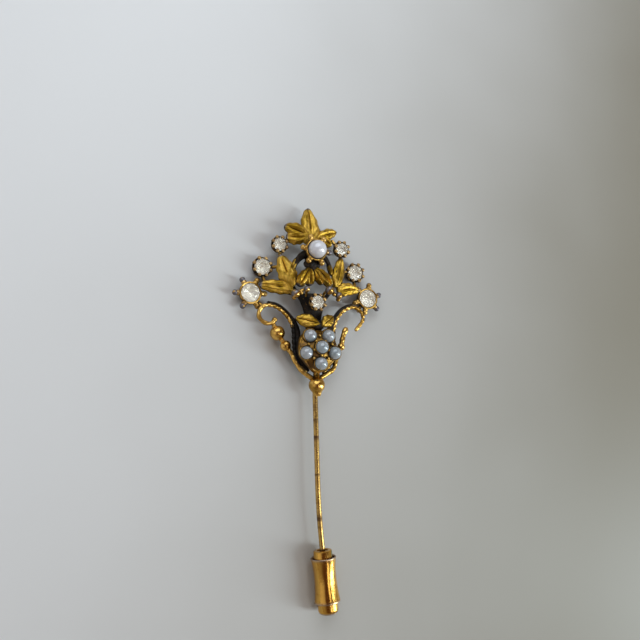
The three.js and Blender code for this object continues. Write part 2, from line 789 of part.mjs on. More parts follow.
// Each rope's line up the basket's side and over to the lower setting, for the +X side.
const SCROLL_LINES = {
  left: [
    [1.1, 1.9],
    [2.85, 3.5],
    [3.55, 5.2],
    [3.72, 7.1],
    [3.74, 9.0],
    [4.0, 10.3],
    [4.75, 11.7],
    [5.9, 12.8],
    [7.0, 13.4],
    [8.3, 13.6],
  ],
  right: [
    [1.1, 1.9],
    [2.85, 3.5],
    [3.55, 5.2],
    [3.72, 7.1],
    [3.74, 9.0],
    [3.95, 10.4],
    [4.5, 11.6],
    [5.4, 12.75],
    [6.5, 13.5],
    [7.7, 13.85],
  ],
};

// How each rope ends: the left one closes in a curl, the right one has opened to a hook.
const SCROLL_ENDS = {
  left: [
    [-9.2, 13.3],
    [-9.8, 12.5],
    [-9.85, 11.6],
    [-9.3, 10.85],
    [-8.4, 10.45],
    [-7.5, 10.6],
    [-7.15, 11.05],
  ],
  right: [
    [8.8, 13.5],
    [9.5, 12.7],
    [9.65, 11.7],
    [9.1, 10.8],
    [8.2, 9.8],
  ],
};

// The strap narrows where the rope arches over.
const STRAP_TAPER = { from: 9.3, over: 2.5, loses: 0.55 };
const strapWidth = (y) =>
  STRAP_WIDTH * (1 - STRAP_TAPER.loses * THREE.MathUtils.clamp((y - STRAP_TAPER.from) / STRAP_TAPER.over, 0, 1));

// A line moved sideways, to the inside of the +X scroll, by a distance for each of its points.
function inset(points, distanceAt) {
  return points.map(([x, y], i) => {
    const [ax, ay] = points[Math.max(i - 1, 0)];
    const [bx, by] = points[Math.min(i + 1, points.length - 1)];
    const reach = distanceAt(y) / Math.hypot(bx - ax, by - ay);
    return [x - (by - ay) * reach, y + (bx - ax) * reach];
  });
}

// A flat strap on edge, between the rope and a second line inside it.
function strap(side, points) {
  const curve = new THREE.CatmullRomCurve3(vectors(points.map((p) => [...p, 0])), false, "centripetal");
  const line = curve.getSpacedPoints(14).map(({ x, y }) => [x, y]);
  const near = ROPE_RADIUS - 0.1;
  const edges = [...inset(line, () => near), ...inset(line, (y) => near + strapWidth(y)).reverse()];
  const outline = new THREE.Shape(mirrored(side, edges).map((p) => new THREE.Vector2(...p)));
  return new THREE.ExtrudeGeometry(outline, { depth: STRAP_DEPTH, bevelEnabled: false }).translate(
    0,
    0,
    SCROLL_Z - STRAP_DEPTH / 2,
  );
}

for (const [name, side] of Object.entries(SIDES)) {
  const line = SCROLL_LINES[name];
  const rope = [...mirrored(side, line), ...SCROLL_ENDS[name]].map((p) => [...p, SCROLL_Z + 0.25]);
  add(head, `scroll_rope_${name}`, ANTIQUE_GOLD, wire(rope, ROPE_RADIUS, { steps: 26 }));
  add(head, `scroll_strap_${name}`, BLACKENED_GOLD, strap(side, line));
}

// ---------------------------------------------------------------- clutch, turned about the stem's lower end

// Heights are measured along the stem's tail from the clutch's mouth, which is at 0; the cap is below.
const clutchLength = BARREL_PROUD + SLEEVE_LENGTH + CAP_PROUD;
const CAP_FLOOR = 0.3;
const barrelInner = BARREL_RADIUS - BARREL_WALL;
const capInner = BARREL_RADIUS + PRESS_GAP;
const capRadius = capInner + CAP_WALL;
const capTop = -BARREL_PROUD - SLEEVE_LENGTH + CAP_OVERLAP;
const capFloor = -clutchLength + CAP_FLOOR;
const lipRadius = STEM_RADIUS + STEM_HOLE_FIT + 0.35;
const LIP_THICKNESS = 0.2;
const ROLLED_EDGE = 0.15;

const barrel = turned([
  [lipRadius, -LIP_THICKNESS],
  [barrelInner, -LIP_THICKNESS],
  [barrelInner, capFloor + PRESS_GAP],
  [BARREL_RADIUS, capFloor + PRESS_GAP],
  [BARREL_RADIUS, -ROLLED_EDGE],
  [BARREL_RADIUS - ROLLED_EDGE, 0],
  [lipRadius, 0],
  [lipRadius, -LIP_THICKNESS],
]);

// The waisted sleeve grips the barrel at its waist and stands off it at both rims.
const waistOuter = BARREL_RADIUS + PRESS_GAP + SLEEVE_WALL;
const WAIST_SHARE = 0.42; // how far down the sleeve its waist is
function sleeveRadius(share) {
  const away = share < WAIST_SHARE ? (WAIST_SHARE - share) / WAIST_SHARE : (share - WAIST_SHARE) / (1 - WAIST_SHARE);
  return waistOuter + (SLEEVE_RADIUS - waistOuter) * away ** 2;
}

function sleeve() {
  const STATIONS = 8;
  const outside = [];
  for (let i = 0; i <= STATIONS; i++) {
    const share = 1 - i / STATIONS;
    outside.push([sleeveRadius(share), -BARREL_PROUD - share * SLEEVE_LENGTH]);
  }
  const inside = outside.map(([r, y]) => [r - SLEEVE_WALL, y]).reverse();
  return turned([...outside, ...inside, outside[0]]);
}

const CAP_ROUNDING = 0.7;
const cap = turned([
  [0, -clutchLength],
  [capRadius - CAP_ROUNDING, -clutchLength],
  [capRadius - 0.5 * CAP_ROUNDING, -clutchLength + 0.13 * CAP_ROUNDING],
  [capRadius - 0.13 * CAP_ROUNDING, -clutchLength + 0.5 * CAP_ROUNDING],
  [capRadius, -clutchLength + CAP_ROUNDING],
  [capRadius, capTop],
  [capInner, capTop],
  [capInner, capFloor],
  [0, capFloor],
]);

const washerTop = -LIP_THICKNESS - PRESS_GAP;
const washer = turned([
  [STEM_RADIUS + STEM_HOLE_FIT, washerTop - WASHER_THICKNESS],
  [barrelInner - PRESS_GAP, washerTop - WASHER_THICKNESS],
  [barrelInner - PRESS_GAP, washerTop],
  [STEM_RADIUS + STEM_HOLE_FIT, washerTop],
  [STEM_RADIUS + STEM_HOLE_FIT, washerTop - WASHER_THICKNESS],
]);

// A slit tube, pinched in the middle so that its fingers hug the stem.
function gripSpring() {
  const top = washerTop - WASHER_THICKNESS - SLIP_FIT;
  const pinched = STEM_RADIUS + SLIP_FIT;
  const open = barrelInner - SLIP_FIT - SPRING_WALL;
  const inside = [
    [open, 0],
    [open, 0.7],
    [pinched, 0.5 * SPRING_LENGTH - 0.5],
    [pinched, 0.5 * SPRING_LENGTH + 0.5],
    [open, SPRING_LENGTH - 0.7],
    [open, SPRING_LENGTH],
  ].map(([r, y]) => [r, top - SPRING_LENGTH + y]);
  const outside = inside.map(([r, y]) => [r + SPRING_WALL, y]);
  const tube = turned([...outside, ...inside.slice().reverse(), outside[0]]);
  const SLIT_WIDTH = 0.3;
  const slitLength = SPRING_LENGTH - 1.2;
  const slit = new THREE.BoxGeometry(SLIT_WIDTH, slitLength, 4 * barrelInner).translate(
    0,
    top - SPRING_LENGTH / 2,
    0,
  );
  return cut(tube, [slit, slit.clone().rotateY(Math.PI / 2)]);
}

// The clutch's frame: +Y along the stem's tail towards the head, origin at the mouth.
const inserted = clutchLength - CAP_FLOOR - CLUTCH_TIP_GAP;
clutch.position.copy(stemTip).addScaledVector(tipDirection, -inserted);
clutch.rotation.z = set;

add(clutch, "clutch_barrel", CLUTCH_GOLD, barrel);
add(clutch, "clutch_sleeve", CLUTCH_GOLD, sleeve());
add(clutch, "clutch_end_cap", CLUTCH_GOLD, cap);
add(clutch, "clutch_mouth_washer", CLUTCH_GOLD, washer);
add(clutch, "clutch_grip_spring", SPRING_BRONZE, gripSpring());

// ---------------------------------------------------------------- finish

seatPieces();

// The part's own origin: under the middle of its outline, on the surface that it lies on.
const outline = new THREE.Box3().setFromObject(pin, true);
const middle = outline.getCenter(new THREE.Vector3());
const toWeld = (value) => Math.round(value / WELD) * WELD;
pin.position.set(toWeld(-middle.x), toWeld(-middle.y), toWeld(-outline.min.z));

export default pin;
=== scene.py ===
"""Hat pin: an openwork flower-basket head with stones and imitation pearls, on a wire stem with a clutch.

Lengths are millimetres from the centre of the base ball, where head and stem meet: X to the head's
right, Y up the pin, Z out of its face. spot() turns them into places in the scene.
"""

import json
import random
from math import copysign, cos, exp, log, pi, radians, sin, sqrt

import bmesh
import bpy
from mathutils import Matrix, Vector


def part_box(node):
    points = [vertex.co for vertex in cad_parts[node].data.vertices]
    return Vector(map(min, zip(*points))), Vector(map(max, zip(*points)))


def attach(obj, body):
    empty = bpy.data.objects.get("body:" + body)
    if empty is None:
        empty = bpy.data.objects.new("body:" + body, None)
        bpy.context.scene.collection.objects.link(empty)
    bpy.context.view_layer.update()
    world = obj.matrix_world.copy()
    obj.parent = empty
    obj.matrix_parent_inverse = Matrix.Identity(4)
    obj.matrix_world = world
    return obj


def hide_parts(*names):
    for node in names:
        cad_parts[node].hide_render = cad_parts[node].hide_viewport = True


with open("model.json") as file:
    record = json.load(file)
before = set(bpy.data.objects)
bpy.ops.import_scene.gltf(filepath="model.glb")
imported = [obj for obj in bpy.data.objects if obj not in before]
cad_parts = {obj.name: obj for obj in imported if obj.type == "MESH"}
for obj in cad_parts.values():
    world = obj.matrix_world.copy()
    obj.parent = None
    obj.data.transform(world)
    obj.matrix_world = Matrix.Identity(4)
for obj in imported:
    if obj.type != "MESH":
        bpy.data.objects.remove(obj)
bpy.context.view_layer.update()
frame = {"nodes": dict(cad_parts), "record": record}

MM = 0.001
HEAD = "head_and_stem"
SHELL = "clutch_shell"
GOLD = "antique_gold"
BLACK = "blackened_gold"
SIDES = {"left": -1, "right": 1}
chance = random.Random(7)

# ---- sizes, as on the solid part

STEM_RADIUS = 0.45
STEM_LENGTH = 36.4
STEM_STRAIGHT = 16
STEM_SET = radians(4.4)
STEM_SET_LENGTH = 9
STEM_POINT = 3
STEM_TIP = 0.06
STEM_SETBACK = 0.9
BALL_RADIUS = 1.4
BALL_DROP = 1.9
NECK_RADIUS = 0.55
NECK_TOP = 2.6
LARGE_STONE = 1.6
MIDDLE_STONE = 1.42
SMALL_STONE = 1.17
PEARL_RADIUS = 1.6
SEED_RADIUS = 1.12
SETTING_WALL = 0.33
SETTING_FLOOR = 0.45
CROWN = 0.36
PAVILION = 0.9


def middle(node):
    """The centre of a solid's box, in metres."""
    low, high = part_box(node)
    return (Vector(low) + Vector(high)) / 2


def origin_of_head():
    neck_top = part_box("base_ball")[1][1]
    across = (middle("stone_lower_left").x + middle("stone_lower_right").x) / 2
    depth = middle("clutch_sleeve").z + STEM_SETBACK * MM
    return Vector((across, neck_top - NECK_TOP * MM, depth))


ORIGIN = origin_of_head()


def spot(point):
    """A place on the head, in the scene's metres."""
    return ORIGIN + Vector(point) * MM


def on_head(node):
    """The centre of a solid, in millimetres from the base ball's centre."""
    return (middle(node) - ORIGIN) / MM


def stone_centre(node, radius):
    """The middle of a stone's girdle: its table is a crown's height above."""
    at = on_head(node)
    top = (Vector(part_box(node)[1]) - ORIGIN).z / MM
    return Vector((at.x, at.y, top - CROWN * radius))


def mirrored(side, points):
    return [(side * p[0], *p[1:]) for p in points]


def clamped(value):
    return min(1.0, max(0.0, value))


def raised(height):
    return Vector((0, 0, height))


def turns_round(count, start=0.0):
    """So many even turns of a full circle, in radians."""
    return [2 * pi * (k + start) / count for k in range(count)]


# ---- making meshes


WIRE_END = 0.9


class Casting:
    """The points and faces of one piece while it is being made."""

    def __init__(self):
        self.points = []
        self.faces = []
        self.finish_of = []
        self.worn = []
        self.soot = []
        self.grain = []

    def skin(self, rings, closed=False, finish=0, worn=0.0):
        """Covers a row of rings. A ring of one point closes its end; closed joins the last to the first."""
        starts = []
        for ring in rings:
            starts.append(len(self.points))
            self.points += ring
            self.grain += ring
            self.worn += [worn] * len(ring)
            self.soot += [0.0] * len(ring)
        pairs = list(zip(range(len(rings)), range(1, len(rings))))
        if closed:
            pairs.append((len(rings) - 1, 0))
        for a, b in pairs:
            self._band(starts[a], len(rings[a]), starts[b], len(rings[b]), finish)

    def _band(self, a, a_count, b, b_count, finish):
        count = max(a_count, b_count)
        for i in range(count):
            j = (i + 1) % count
            if a_count == 1:
                face = (a, b + j, b + i)
            elif b_count == 1:
                face = (a + i, a + j, b)
            else:
                face = (a + i, a + j, b + j, b + i)
            self.faces.append(face)
            self.finish_of.append(finish)

    def turned(self, profile, place=Matrix(), sides=32, closed=False, finish=0, worn=0.0):
        """A turned body from (radius, height) points, about the Z of its place."""
        rings = []
        for radius, height in profile:
            if radius < 1e-6:
                rings.append([place @ raised(height)])
                continue
            ring = [Vector((radius * cos(t), radius * sin(t), height)) for t in turns_round(sides)]
            rings.append([place @ p for p in ring])
        self.skin(rings, closed, finish, worn)

    def ball(self, radius, at, sides=24, squash=1.0, finish=0, worn=0.0):
        place = Matrix.Translation(at) @ Matrix.Diagonal((1, 1, squash, 1))
        self.turned(arc(radius, -90, 90, sides // 2 + 1), place, sides, finish=finish, worn=worn)

    def wire(self, route, radius, sides=12, worn=0.0):
        """A wire along a route, with rounded ends. radius is a number or a function of (distance, length)."""
        girth = radius if callable(radius) else (lambda along, length: radius)
        directions = [(b - a).normalized() for a, b in zip(route, route[1:])]
        directions.append(directions[-1])
        run = [0.0]
        for a, b in zip(route, route[1:]):
            run.append(run[-1] + (b - a).length)
        up = raised(1)
        stations = []
        for point, direction, along in zip(route, directions, run):
            side = direction.cross(up).normalized()
            stations.append((point, side, side.cross(direction), direction, girth(along, run[-1])))
        rings = self._end_cap(stations[0], -1, sides)
        for point, side, lift, _, size in stations:
            rings.append(_hoop(point, side, lift, size, sides))
        rings += reversed(self._end_cap(stations[-1], 1, sides))
        self.skin(rings, worn=worn)

    def _end_cap(self, station, way, sides):
        point, side, lift, direction, size = station
        rings = [[point + direction * (way * size * WIRE_END)]]
        for tilt in (65, 35):
            out = cos(radians(tilt)) * size
            along = sin(radians(tilt)) * size * WIRE_END
            rings.append(_hoop(point + direction * (way * along), side, lift, out, sides))
        return rings

    def made(self, name, finishes, body, replaces, slot, smooth=40):
        """The finished piece, in place and riding on its body. smooth is in degrees, or 0 for cut facets."""
        mesh = bpy.data.meshes.new(name)
        mesh.from_pydata([spot(p) for p in self.points], [], self.faces)
        for finish in finishes:
            mesh.materials.append(finish)
        mesh.polygons.foreach_set("material_index", self.finish_of)
        for kind in ("worn", "soot"):
            amount = mesh.attributes.new(kind, "FLOAT", "POINT")
            amount.data.foreach_set("value", getattr(self, kind))
        grain = mesh.attributes.new("grain", "FLOAT_VECTOR", "POINT")
        grain.data.foreach_set("vector", [value for point in self.grain for value in point])
        mesh.validate()
        tidy_normals(mesh)
        if smooth:
            mesh.shade_smooth()
            mesh.set_sharp_from_angle(angle=radians(smooth))
        piece = bpy.data.objects.new(name, mesh)
        bpy.context.scene.collection.objects.link(piece)
        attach(piece, body)
        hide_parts(*replaces)


def tidy_normals(mesh):
    """Turns every face outwards."""
    work = bmesh.new()
    work.from_mesh(mesh)
    bmesh.ops.recalc_face_normals(work, faces=work.faces)
    work.to_mesh(mesh)
    work.free()


def _hoop(point, side, lift, size, sides):
    return [point + side * (size * cos(t)) + lift * (size * sin(t)) for t in turns_round(sides)]


def arc(radius, from_deg, to_deg, count, centre=(0.0, 0.0)):
    """Points of a circle from one latitude to another, as (radius, height)."""
    points = []
    for k in range(count):
        turn = radians(from_deg + (to_deg - from_deg) * k / (count - 1))
        out = centre[0] + radius * cos(turn)
        points.append((0.0 if abs(out) < 1e-9 else out, centre[1] + radius * sin(turn)))
    return points


def smooth_route(points, step=0.18):
    """Evenly spaced places on a smooth curve through the points."""
    ends = [Vector(p) for p in points]
    ends = [2 * ends[0] - ends[1]] + ends + [2 * ends[-1] - ends[-2]]
    fine = []
    for a, b, c, d in zip(ends, ends[1:], ends[2:], ends[3:]):
        for k in range(16):
            t = k / 16
            bend, twist = 2 * a - 5 * b + 4 * c - d, 3 * b - a - 3 * c + d
            fine.append(0.5 * ((2 * b) + (c - a) * t + bend * t**2 + twist * t**3))
    fine.append(ends[-2])
    total = sum((q - p).length for p, q in zip(fine, fine[1:]))
    count = max(2, round(total / step))
    route, due, run = [fine[0]], total / count, 0.0
    for p, q in zip(fine, fine[1:]):
        length = (q - p).length
        while run + length >= due * len(route) and len(route) < count:
            route.append(p.lerp(q, (due * len(route) - run) / length))
        run += length
    route.append(fine[-1])
    return route


# ---- finishes


NOISE_ROUGHNESS = 0.55


class Shade:
    """A value that varies over a surface. Sums, differences and products of values add Math nodes."""

    def __init__(self, finish, socket):
        self.finish = finish
        self.socket = socket

    def _sum(self, operation, first, second):
        return self.finish.node("ShaderNodeMath", {"operation": operation}, {0: first, 1: second})

    def __add__(self, other):
        return self._sum("ADD", self, other)

    __radd__ = __add__

    def __sub__(self, other):
        return self._sum("SUBTRACT", self, other)

    def __rsub__(self, other):
        return self._sum("SUBTRACT", other, self)

    def __mul__(self, other):
        return self._sum("MULTIPLY", self, other)

    __rmul__ = __mul__

    def within(self, low, high):
        """0 below low, 1 above high, and smooth between."""
        settings = {"interpolation_type": "SMOOTHSTEP", "clamp": True}
        sockets = {"Value": self, "From Min": low, "From Max": high, "To Min": 0.0, "To Max": 1.0}
        return self.finish.node("ShaderNodeMapRange", settings, sockets)


class Finish:
    """One material, or the air of the studio, and the nodes that make it."""

    def __init__(self, name, world=False):
        self.material = (bpy.data.worlds if world else bpy.data.materials).new(name)
        self.material.use_nodes = True
        self.tree = self.material.node_tree
        self.shader = self.tree.nodes["Background" if world else "Principled BSDF"]

    def node(self, kind, settings=None, sockets=None, output=0):
        made = self.tree.nodes.new(kind)
        for name, value in (settings or {}).items():
            setattr(made, name, value)
        for key, value in (sockets or {}).items():
            self._feed(made.inputs[key], value)
        return Shade(self, made.outputs[output])

    def _feed(self, socket, value):
        if isinstance(value, Shade):
            self.tree.links.new(value.socket, socket)
        elif isinstance(value, tuple) and len(value) == 3 and socket.type == "RGBA":
            socket.default_value = (*value, 1.0)
        else:
            socket.default_value = value

    def mix(self, mask, first, second):
        """One colour where the mask is 0, another where it is 1."""
        return self.node("ShaderNodeMix", {"data_type": "RGBA"}, {0: mask, 6: first, 7: second}, output=2)

    def place(self):
        return self.node("ShaderNodeTexCoord", output="Object")

    def noise(self, per_mm, detail, stretch=None, along=None):
        """Cloudy variation, with so many clouds to the millimetre, or following the grain of a piece."""
        where, scale = self.place(), per_mm / MM
        if along:
            where, scale = self.amount(along, "Vector"), per_mm
        if stretch:
            where = self.node("ShaderNodeMapping", sockets={"Vector": where, "Scale": stretch})
        sockets = {"Vector": where, "Scale": scale, "Detail": detail, "Roughness": NOISE_ROUGHNESS}
        return self.node("ShaderNodeTexNoise", sockets=sockets)

    def recess(self, reach, low, high):
        """1 deep in a corner or a crevice, 0 in the open."""
        sockets = {"Distance": reach * MM}
        open_air = self.node("ShaderNodeAmbientOcclusion", {"samples": 6}, sockets, output="AO")
        return 1 - open_air.within(low, high)

    def facing_up(self):
        """How far the surface faces up from the table, from -1 to 1."""
        normal = self.node("ShaderNodeTexCoord", output="Normal")
        return self.node("ShaderNodeSeparateXYZ", sockets={"Vector": normal}, output="Z")

    def amount(self, kind, output="Fac"):
        """What the casting says at each point: how worn or sooty it is, or where it is in the grain."""
        return self.node("ShaderNodeAttribute", {"attribute_name": kind}, output=output)

    def bump(self, height, depth, strength):
        sockets = {"Height": height, "Distance": depth * MM, "Strength": strength}
        return self.node("ShaderNodeBump", sockets=sockets, output="Normal")

    def surface(self, **sockets):
        for name, value in sockets.items():
            self._feed(self.shader.inputs[name.replace("_", " ")], value)
        return self.material


# Colours of the metal, from clean gilding to the near-black of painted shade and grime
CLEAN_GILT = (0.88, 0.54, 0.14)
DULL_GILT = (0.42, 0.23, 0.042)
LEAF_BRIGHT = (0.78, 0.49, 0.085)
LEAF_DULL = (0.36, 0.21, 0.018)
BROWN_GILT = (0.17, 0.095, 0.035)
BARE_METAL = (0.20, 0.19, 0.215)
GRIME_AND_SHADE = (0.022, 0.013, 0.006)
SOOT = (0.008, 0.006, 0.005)


def gilt(name, bright, dull, roughness, shade_from, shade_to, reach=0.9, side_shade=0.8, striped=False):
    """Worn gilding: two golds in blotches, painted shade in recesses and on the sides that don't face up,
    specks of grime, bare metal where rubbed.
    """
    finish = Finish(name)
    blotches = finish.noise(0.55, 4).within(0.38, 0.62)
    fine = finish.noise(6, 3)
    # Painted shade: darker on the sides and undersides that face away from up.
    side = 1 - finish.facing_up().within(-0.15, 0.65)
    # Painted shade: darker deep in recesses and between parts, found by ambient occlusion.
    recess = finish.recess(reach, shade_from, shade_to)
    specks = finish.noise(2.6, 3).within(0.60, 0.70)
    # The dark mask holds painted shade from recesses and sides, and real specks of grime.
    grime_and_shade = (recess + side_shade * side + 0.5 * specks * (0.4 + recess)).within(0.08, 1.0)
    rubbed = finish.amount("worn") * finish.noise(1.6, 3).within(0.28, 0.42)
    sooty = (finish.amount("soot") * 1.6 - finish.noise(2.4, 3)).within(0.0, 0.25)
    gold = finish.mix(blotches, bright, dull)
    if striped:
        stripe = finish.noise(3.4, 4, along="grain")
        gold = finish.mix(stripe.within(0.52, 0.70) * 0.55, gold, dull)
        # The mask also darkens the low lines of the stripes.
        grime_and_shade = (grime_and_shade + 0.75 * (1 - stripe.within(0.30, 0.43))).within(0.0, 1.0)
    metal = finish.mix(rubbed, gold, BARE_METAL)
    # Near-black where the mask holds painted shade and grime.
    dirty_and_shaded = finish.mix(grime_and_shade, metal, GRIME_AND_SHADE)
    height = fine * 0.4 + finish.noise(1.8, 3)
    if striped:
        height = height * 0.8 + stripe * 1.8
    return finish.surface(
        Base_Color=finish.mix(sooty, dirty_and_shaded, SOOT),
        Metallic=1 - 0.6 * (grime_and_shade + sooty).within(0.0, 1.0),
        Roughness=roughness + 0.16 * fine + 0.30 * grime_and_shade + 0.12 * rubbed + 0.3 * sooty,
        Normal=finish.bump(height, 0.10 if striped else 0.045, 0.8),
    )


def blackened():
    """Old blackening, with gilt left here and there on the high places."""
    finish = Finish("blackened_gilt")
    left = finish.noise(1.5, 4).within(0.66, 0.72)
    colour = finish.mix(finish.noise(0.8, 3).within(0.4, 0.7), SOOT, (0.035, 0.020, 0.010))
    return finish.surface(
        Base_Color=finish.mix(left, colour, (0.34, 0.20, 0.05)),
        Metallic=0.3 + 0.6 * left,
        Roughness=0.50 - 0.2 * left,
        Specular_IOR_Level=0.3,
        Normal=finish.bump(finish.noise(2.2, 4), 0.22, 0.9),
    )


def polished_clutch():
    """Polished gilding over brass, thin at the rims where the white metal shows, with pits, verdigris and
    painted shade in the corners.
    """
    finish = Finish("clutch_gilt")
    scuffs = finish.noise(1.2, 5).within(0.52, 0.75)
    pits = finish.noise(3.5, 2).within(0.70, 0.76)
    gold = finish.mix(scuffs, (0.70, 0.39, 0.08), (0.50, 0.24, 0.045))
    rim = finish.amount("worn") * finish.noise(2.2, 4).within(0.20, 0.45)
    colour = finish.mix(rim, gold, (0.40, 0.33, 0.29))
    # Painted shade in the corners, found by ambient occlusion, joined with the real pits.
    corner = (finish.recess(0.5, 0.2, 0.6) + 0.7 * pits).within(0.0, 1.0)
    dark = finish.mix(corner, colour, (0.10, 0.045, 0.012))
    green = (finish.amount("soot") * 1.5 - finish.noise(2.0, 3)).within(0.10, 0.45)
    return finish.surface(
        Base_Color=finish.mix(green, dark, (0.05, 0.13, 0.08)),
        Metallic=1 - 0.9 * green,
        Roughness=0.20 + 0.16 * scuffs + 0.16 * rim + 0.5 * green,
        Normal=finish.bump(finish.noise(0.9, 4) - 0.4 * pits, 0.07, 0.5),
    )


def stem_brass():
    """Brass wire with tarnish in bands along it."""
    finish = Finish("stem_brass")
    bands = finish.noise(0.55, 4, stretch=(0.15, 1.0, 0.15)).within(0.50, 0.66)
    streaks = finish.noise(2.4, 3, stretch=(1.0, 0.2, 1.0)).within(0.45, 0.65)
    clean = finish.mix(streaks * 0.6, (0.56, 0.36, 0.11), (0.36, 0.20, 0.055))
    return finish.surface(
        Base_Color=finish.mix(bands, clean, (0.13, 0.065, 0.028)),
        Metallic=0.95,
        Roughness=0.27 + 0.25 * bands,
        Normal=finish.bump(finish.noise(2.5, 4), 0.03, 0.5),
    )


def stone_glass():
    finish = Finish("stone_glass")
    tint = finish.noise(0.6, 1).within(0.3, 0.7)
    return finish.surface(
        Base_Color=finish.mix(tint, (0.99, 0.985, 0.96), (0.98, 0.96, 0.91)),
        Roughness=0.015,
        IOR=1.54,
        Transmission_Weight=1.0,
    )


def stone_foil():
    """Crinkled silvery foil behind a stone, with a faint warm painted glow of its own."""
    finish = Finish("stone_foil")
    aged = finish.noise(0.9, 3).within(0.50, 0.72)
    return finish.surface(
        Base_Color=finish.mix(aged, (1.0, 0.995, 0.96), (0.90, 0.85, 0.72)),
        Metallic=0.85,
        Roughness=0.12 + 0.12 * aged,
        # Painted light: the foil glows faintly, as no real foil does.
        Emission_Color=(1.0, 0.95, 0.84),
        Emission_Strength=0.09,
        Normal=finish.bump(finish.noise(1.7, 2), 0.34, 0.9),
    )


def pearl_lacquer(name, body_colour, cloud_colour, rim_shade_colour, roughness):
    """Pearl lacquer: a pale cloudy body with painted shade that darkens it towards the outline, under a thin
    clear coat.
    """
    finish = Finish(name)
    # Painted shade: the colour darkens towards the outline as seen from the camera; the seed pearls' brownish
    # outline colour is also a painted reflection of the gold round them.
    rim_shade_mask = finish.node("ShaderNodeLayerWeight", sockets={"Blend": 0.4}, output="Facing")
    cloud = finish.noise(0.55, 2).within(0.35, 0.70)
    body = finish.mix(cloud, body_colour, cloud_colour)
    return finish.surface(
        Base_Color=finish.mix(rim_shade_mask.within(0.30, 0.95), body, rim_shade_colour),
        Metallic=0.10,
        Roughness=roughness,
        Coat_Weight=1.0,
        Coat_Roughness=0.20,
        Coat_IOR=1.75,
        Coat_Tint=(0.95, 0.99, 1.0),
        Normal=finish.bump(finish.noise(1.2, 3), 0.02, 0.4),
    )


LEAF_GILT = gilt("leaf_gilt", LEAF_BRIGHT, LEAF_DULL, 0.25, 0.16, 0.62, side_shade=0.9, striped=True)
CAST_GILT = gilt("cast_gilt", CLEAN_GILT, DULL_GILT, 0.22, 0.35, 0.85, reach=1.1)
BEAD_GILT = gilt("bead_gilt", CLEAN_GILT, DULL_GILT, 0.15, 0.14, 0.50, reach=0.6, side_shade=0.35)
BASKET_GILT = gilt("basket_gilt", DULL_GILT, BROWN_GILT, 0.30, -0.10, 0.85, reach=1.4)
BLACKENED = blackened()
CLUTCH_GILT = polished_clutch()
STEM_BRASS = stem_brass()
GLASS = stone_glass()
FOIL = stone_foil()
# The last colour of each is the painted shade at the outline, and on the seed pearls a painted reflection of
# the gold too.
PEARL = pearl_lacquer("pearl_lacquer", (0.86, 0.83, 0.86), (0.78, 0.76, 0.84), (0.50, 0.46, 0.52), 0.24)
SEED_PEARL = pearl_lacquer(
    "seed_pearl_lacquer", (0.42, 0.43, 0.47), (0.30, 0.36, 0.40), (0.10, 0.085, 0.07), 0.22)

# ---- stones and pearls


def round_stone(name, radius):
    """A round stone with a table, star, kite and girdle facets over a foiled pavilion."""
    centre = stone_centre(name, radius)
    crown = CROWN * radius

    def ring(share, height, count, start=0.0):
        out = share * radius
        turns = turns_round(count, start)
        return [centre + Vector((out * cos(t), out * sin(t), height)) for t in turns]

    stone = Casting()
    table, stars = ring(0.55, crown, 8), ring(0.80, 0.62 * crown, 8, 0.5)
    girdle, under = ring(1.0, 0.05, 16), ring(1.0, -0.05, 16)
    mains = ring(0.45, -0.62 * PAVILION * radius, 8, 0.5)
    stone.points = table + stars + girdle + under + mains + [centre + raised(-PAVILION * radius)]
    stone.worn = stone.soot = [0.0] * len(stone.points)
    stone.grain = stone.points
    star, rim, low, main, culet = 8, 16, 32, 48, 56
    glass, foil = [tuple(range(8))], []
    for k in range(8):
        n = (k + 1) % 8
        g, h, j = 2 * k, 2 * k + 1, (2 * k + 2) % 16
        glass += [(k, n, star + k), (k, star + k, rim + g, star + (k - 1) % 8)]
        glass += [(star + k, rim + h, rim + g), (star + k, rim + j, rim + h)]
        foil += [(low + g, low + h, main + k), (low + h, low + j, main + k)]
        foil.append((low + j, main + n, culet, main + k))
    for k in range(16):
        n = (k + 1) % 16
        glass.append((rim + k, rim + n, low + n, low + k))
    stone.faces = glass + foil
    stone.finish_of = [0] * len(glass) + [1] * len(foil)
    stone.made(name + "_cut", [GLASS, FOIL], HEAD, [name], "rhinestone", smooth=0)


STONES = {"stone_centre": SMALL_STONE}
for side in SIDES:
    STONES[f"stone_lower_{side}"] = LARGE_STONE
    STONES[f"stone_middle_{side}"] = MIDDLE_STONE
    STONES[f"stone_upper_{side}"] = SMALL_STONE
for stone_name, stone_radius in STONES.items():
    round_stone(stone_name, stone_radius)


def pearl(name, radius, finish, slot, sides):
    bead = Casting()
    bead.ball(radius, on_head(name), sides)
    bead.made(name + "_bead", [finish], HEAD, [name], slot, smooth=60)


pearl("pearl", PEARL_RADIUS, PEARL, "imitation_pearl", 48)
SEEDS = ["centre", "top_left", "top_right", "left", "right", "bottom"]
for seed in SEEDS:
    pearl(f"seed_pearl_{seed}", SEED_RADIUS, SEED_PEARL, "seed_pearl", 32)

# ---- settings

RAY_ROOT = 0.45
RAY_REACH = 0.98
RAY_BEAD = 0.5
RAY_DROP = 0.4
RAY_TURN = {"left": 0, "right": 18}
CLAW_RADIUS = 0.25
CLAW_BEAD = 0.34
LUG_RADIUS = 0.3
HIGH_RIM = 0.14
LOW_RIM = -0.2
LOW_RIM_SOOT = 0.42


